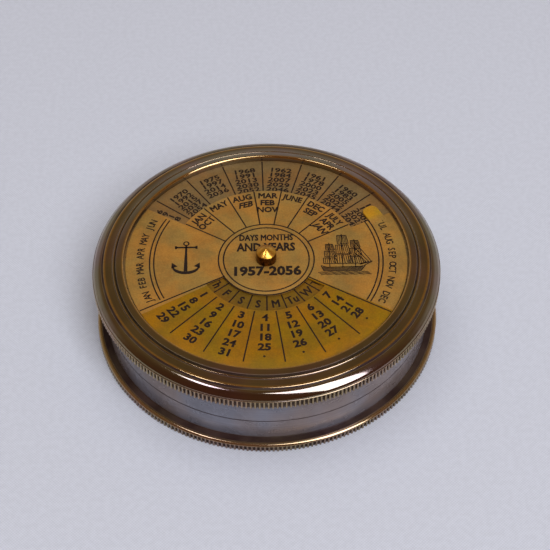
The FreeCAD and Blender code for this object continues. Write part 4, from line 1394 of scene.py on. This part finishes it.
class CALENDAR_OT_stage(bpy.types.Operator):
    """Pale cloth floor, softboxes and the camera at the photograph's angle"""
    bl_idname = "calendar.stage"
    bl_label = "Stage"

    def execute(self, context):
        stage = context.scene.calendar_stage
        mesh = bpy.data.meshes.new("floor")
        half = 3.0
        mesh.from_pydata([(-half, -half, 0), (half, -half, 0), (half, half, 0), (-half, half, 0)],
                         [], [(0, 1, 2, 3)])
        mesh.materials.append(backdrop_cloth("pale_backdrop_cloth"))
        floor = new_object("floor", mesh)
        cool, white = linear("#CAD6FF")[:3], linear("#F3F5FF")[:3]
        for lamp in (self.lamp("key_softbox", (44, 51, 0.75), (0.34, 0.85), stage.key_power, cool),
                     self.lamp("side_softbox", (-80, 72, 0.75), (0.2, 0.1), stage.side_power, cool)):
            lamp.visible_diffuse = False
        for lamp in (self.lamp("key_fill", (24, 52, 1.3), (0.7, 0.8), stage.fill_power, white),
                     self.lamp("overhead_panel", (-120, 84, 1.0), (1.0, 1.0), stage.overhead_power, white)):
            lamp.visible_glossy = False
        self.surroundings(context.scene, stage)
        self.camera(context.scene)
        context.scene.view_settings.view_transform = "Standard"
        return {"FINISHED"}

    def lamp(self, name, direction, size, power, colour):
        """Rectangular lamp that faces the object. The direction is its azimuth, where 0 is the
        camera's side, its elevation and its distance."""
        azimuth, elevation, distance = direction
        light = bpy.data.lights.new(name, "AREA")
        light.shape = "RECTANGLE"
        light.size, light.size_y, light.energy = *size, power
        light.color = colour
        holder = bpy.data.objects.new(name, light)
        bpy.context.scene.collection.objects.link(holder)
        a, e = radians(azimuth), radians(elevation)
        towards = Vector((sin(a) * cos(e), -cos(a) * cos(e), sin(e)))
        holder.location = towards * distance
        holder.rotation_euler = towards.to_track_quat("Z", "Y").to_euler()
        return holder

    def surroundings(self, scene, stage):
        """Dim warm room, with the pale backdrop that rises behind the calendar."""
        world = bpy.data.worlds.new("studio_room")
        scene.world = world
        world.use_nodes = True
        tree = world.node_tree
        background = tree.nodes["Background"]
        direction = add(tree, "ShaderNodeTexCoord").outputs["Generated"]
        parts = add(tree, "ShaderNodeSeparateXYZ", {"Vector": direction}).outputs
        room = clouded(tree, parts["Y"], -0.6, 0.6, linear("#68483A"), linear("#867357"))
        backdrop = combined(tree, (parts["Y"], -0.1, 0.5, 0.0, 1.0), (parts["Z"], 0.3, 0.68, 1.0, 0.0))
        colour = add(tree, "ShaderNodeMix", {0: backdrop, 6: room, 7: linear("#B4B6BE")},
                     data_type="RGBA").outputs[2]
        connect(tree, background, {"Color": colour, "Strength": stage.room_strength})

    def camera(self, scene):
        """Camera of the photograph, fitted to the circles of the rim and the dial. It stands in
        front of the box, at a distance in mm from the centre of its underside."""
        elevation, distance = radians(49.583), 355.484
        pitch, yaw, roll = radians(48.158), radians(0.457), radians(-0.585)
        ahead = Vector((sin(yaw) * cos(pitch), cos(yaw) * cos(pitch), -sin(pitch)))
        right = ahead.cross(Vector((0, 0, 1))).normalized()
        up = right.cross(ahead)
        right, up = right * cos(roll) + up * sin(roll), up * cos(roll) - right * sin(roll)
        lens = bpy.data.cameras.new("camera")
        lens.sensor_fit = "HORIZONTAL"
        lens.sensor_width = 36.0
        lens.lens = 103.93
        lens.clip_start = 0.01
        camera = bpy.data.objects.new("camera", lens)
        scene.collection.objects.link(camera)
        camera.matrix_world = Matrix((
            (right.x, up.x, -ahead.x, 0),
            (right.y, up.y, -ahead.y, -distance * cos(elevation) * MM),
            (right.z, up.z, -ahead.z, distance * sin(elevation) * MM),
            (0, 0, 0, 1)))
        scene.camera = camera


class CalendarSizes(bpy.types.PropertyGroup):
    """Sizes of the fine work"""
    reed_count: IntProperty(
        name="Reeds", description="Number of ridges round each reeded rim", default=260, min=60)


def colour_choice(name, description, hex_colour):
    """A colour that the sidebar panel offers."""
    return FloatVectorProperty(name=name, description=description, subtype="COLOR", min=0, max=1,
                               default=linear(hex_colour)[:3])


class CalendarFinish(bpy.types.PropertyGroup):
    """Colours of the metals, the lacquer and the floor"""
    brass_maroon: colour_choice("Maroon brass", "Redder clouds of the antique brass", "#94796A")
    brass_olive: colour_choice("Olive brass", "Greener clouds of the antique brass", "#8C7C5C")
    waist_blue: colour_choice("Blue waist", "Bluer clouds of the satin waist", "#84858E")
    waist_grey: colour_choice("Grey waist", "Redder clouds of the satin waist", "#8A7E7A")
    rubbed_gold: colour_choice("Rubbed edges", "Brass where hands have polished it", "#D2A75E")
    # Colour of grime and painted shade in the corners, coves, flange and reed roots.
    brass_grime: colour_choice("Corners", "Brass where polish never reaches", "#26140D")
    plate_gold: colour_choice("Date plate", "Lacquer of the date plate", "#9C7638")
    date_gold: colour_choice("Date columns", "Deeper lacquer over the dates", "#8C6606")
    year_gold: colour_choice("Year plate", "Lacquer of the year plate", "#7C623C")
    weekday_gold: colour_choice("Weekdays", "Lacquer under the weekday window", "#765614")
    tongue_gold: colour_choice("Tongue", "Lacquer of the plate's tongue", "#B0861E")
    etching: colour_choice("Etching", "Enamel in the etched lines", "#1E1206")
    floor: colour_choice("Floor", "Cloth that the calendar stands on", "#BFC3C9")


class CalendarStage(bpy.types.PropertyGroup):
    """Light of the stage"""
    key_power: FloatProperty(
        name="Key softbox", description="Wide softbox that the metal mirrors", default=8.6, min=0,
        unit="POWER")
    side_power: FloatProperty(
        name="Side softbox", description="Narrow softbox that the metal mirrors", default=0.8, min=0,
        unit="POWER")
    fill_power: FloatProperty(
        name="Key fill", description="Soft light from the key's side", default=14.8, min=0, unit="POWER")
    overhead_power: FloatProperty(
        name="Overhead panel", description="Soft light from above", default=4.9, min=0, unit="POWER")
    room_strength: FloatProperty(
        name="Room", description="Brightness of the room round the stage", default=1.0, min=0)


class CALENDAR_PT_panel(bpy.types.Panel):
    """Sidebar panel that makes each group of pieces"""
    bl_idname = "CALENDAR_PT_panel"
    bl_label = "Brass perpetual calendar"
    bl_space_type = "VIEW_3D"
    bl_region_type = "UI"
    bl_category = "Calendar"

    def draw(self, context):
        layout = self.layout
        layout.prop(context.scene.calendar_sizes, "reed_count")
        for field in CalendarFinish.__annotations__:
            layout.prop(context.scene.calendar_finish, field)
        for field in CalendarStage.__annotations__:
            layout.prop(context.scene.calendar_stage, field)
        for operator in OPERATORS:
            layout.operator(operator.bl_idname)


OPERATORS = (CALENDAR_OT_box_base, CALENDAR_OT_lid, CALENDAR_OT_dial_ring, CALENDAR_OT_year_plate,
             CALENDAR_OT_date_plate, CALENDAR_OT_spindle, CALENDAR_OT_compass, CALENDAR_OT_stage)
CLASSES = (CalendarSizes, CalendarFinish, CalendarStage, CALENDAR_PT_panel) + OPERATORS


def register():
    for item in CLASSES:
        bpy.utils.register_class(item)
    bpy.types.Scene.calendar_sizes = PointerProperty(type=CalendarSizes)
    bpy.types.Scene.calendar_finish = PointerProperty(type=CalendarFinish)
    bpy.types.Scene.calendar_stage = PointerProperty(type=CalendarStage)


def unregister():
    del bpy.types.Scene.calendar_stage
    del bpy.types.Scene.calendar_finish
    del bpy.types.Scene.calendar_sizes
    for item in reversed(CLASSES):
        bpy.utils.unregister_class(item)


def main():
    register()
    bpy.ops.calendar.box_base()
    bpy.ops.calendar.lid()
    bpy.ops.calendar.dial_ring()
    bpy.ops.calendar.year_plate()
    bpy.ops.calendar.date_plate()
    bpy.ops.calendar.spindle()
    bpy.ops.calendar.compass()
    bpy.ops.calendar.stage()
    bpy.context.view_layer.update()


if __name__ == "__main__":
    main()
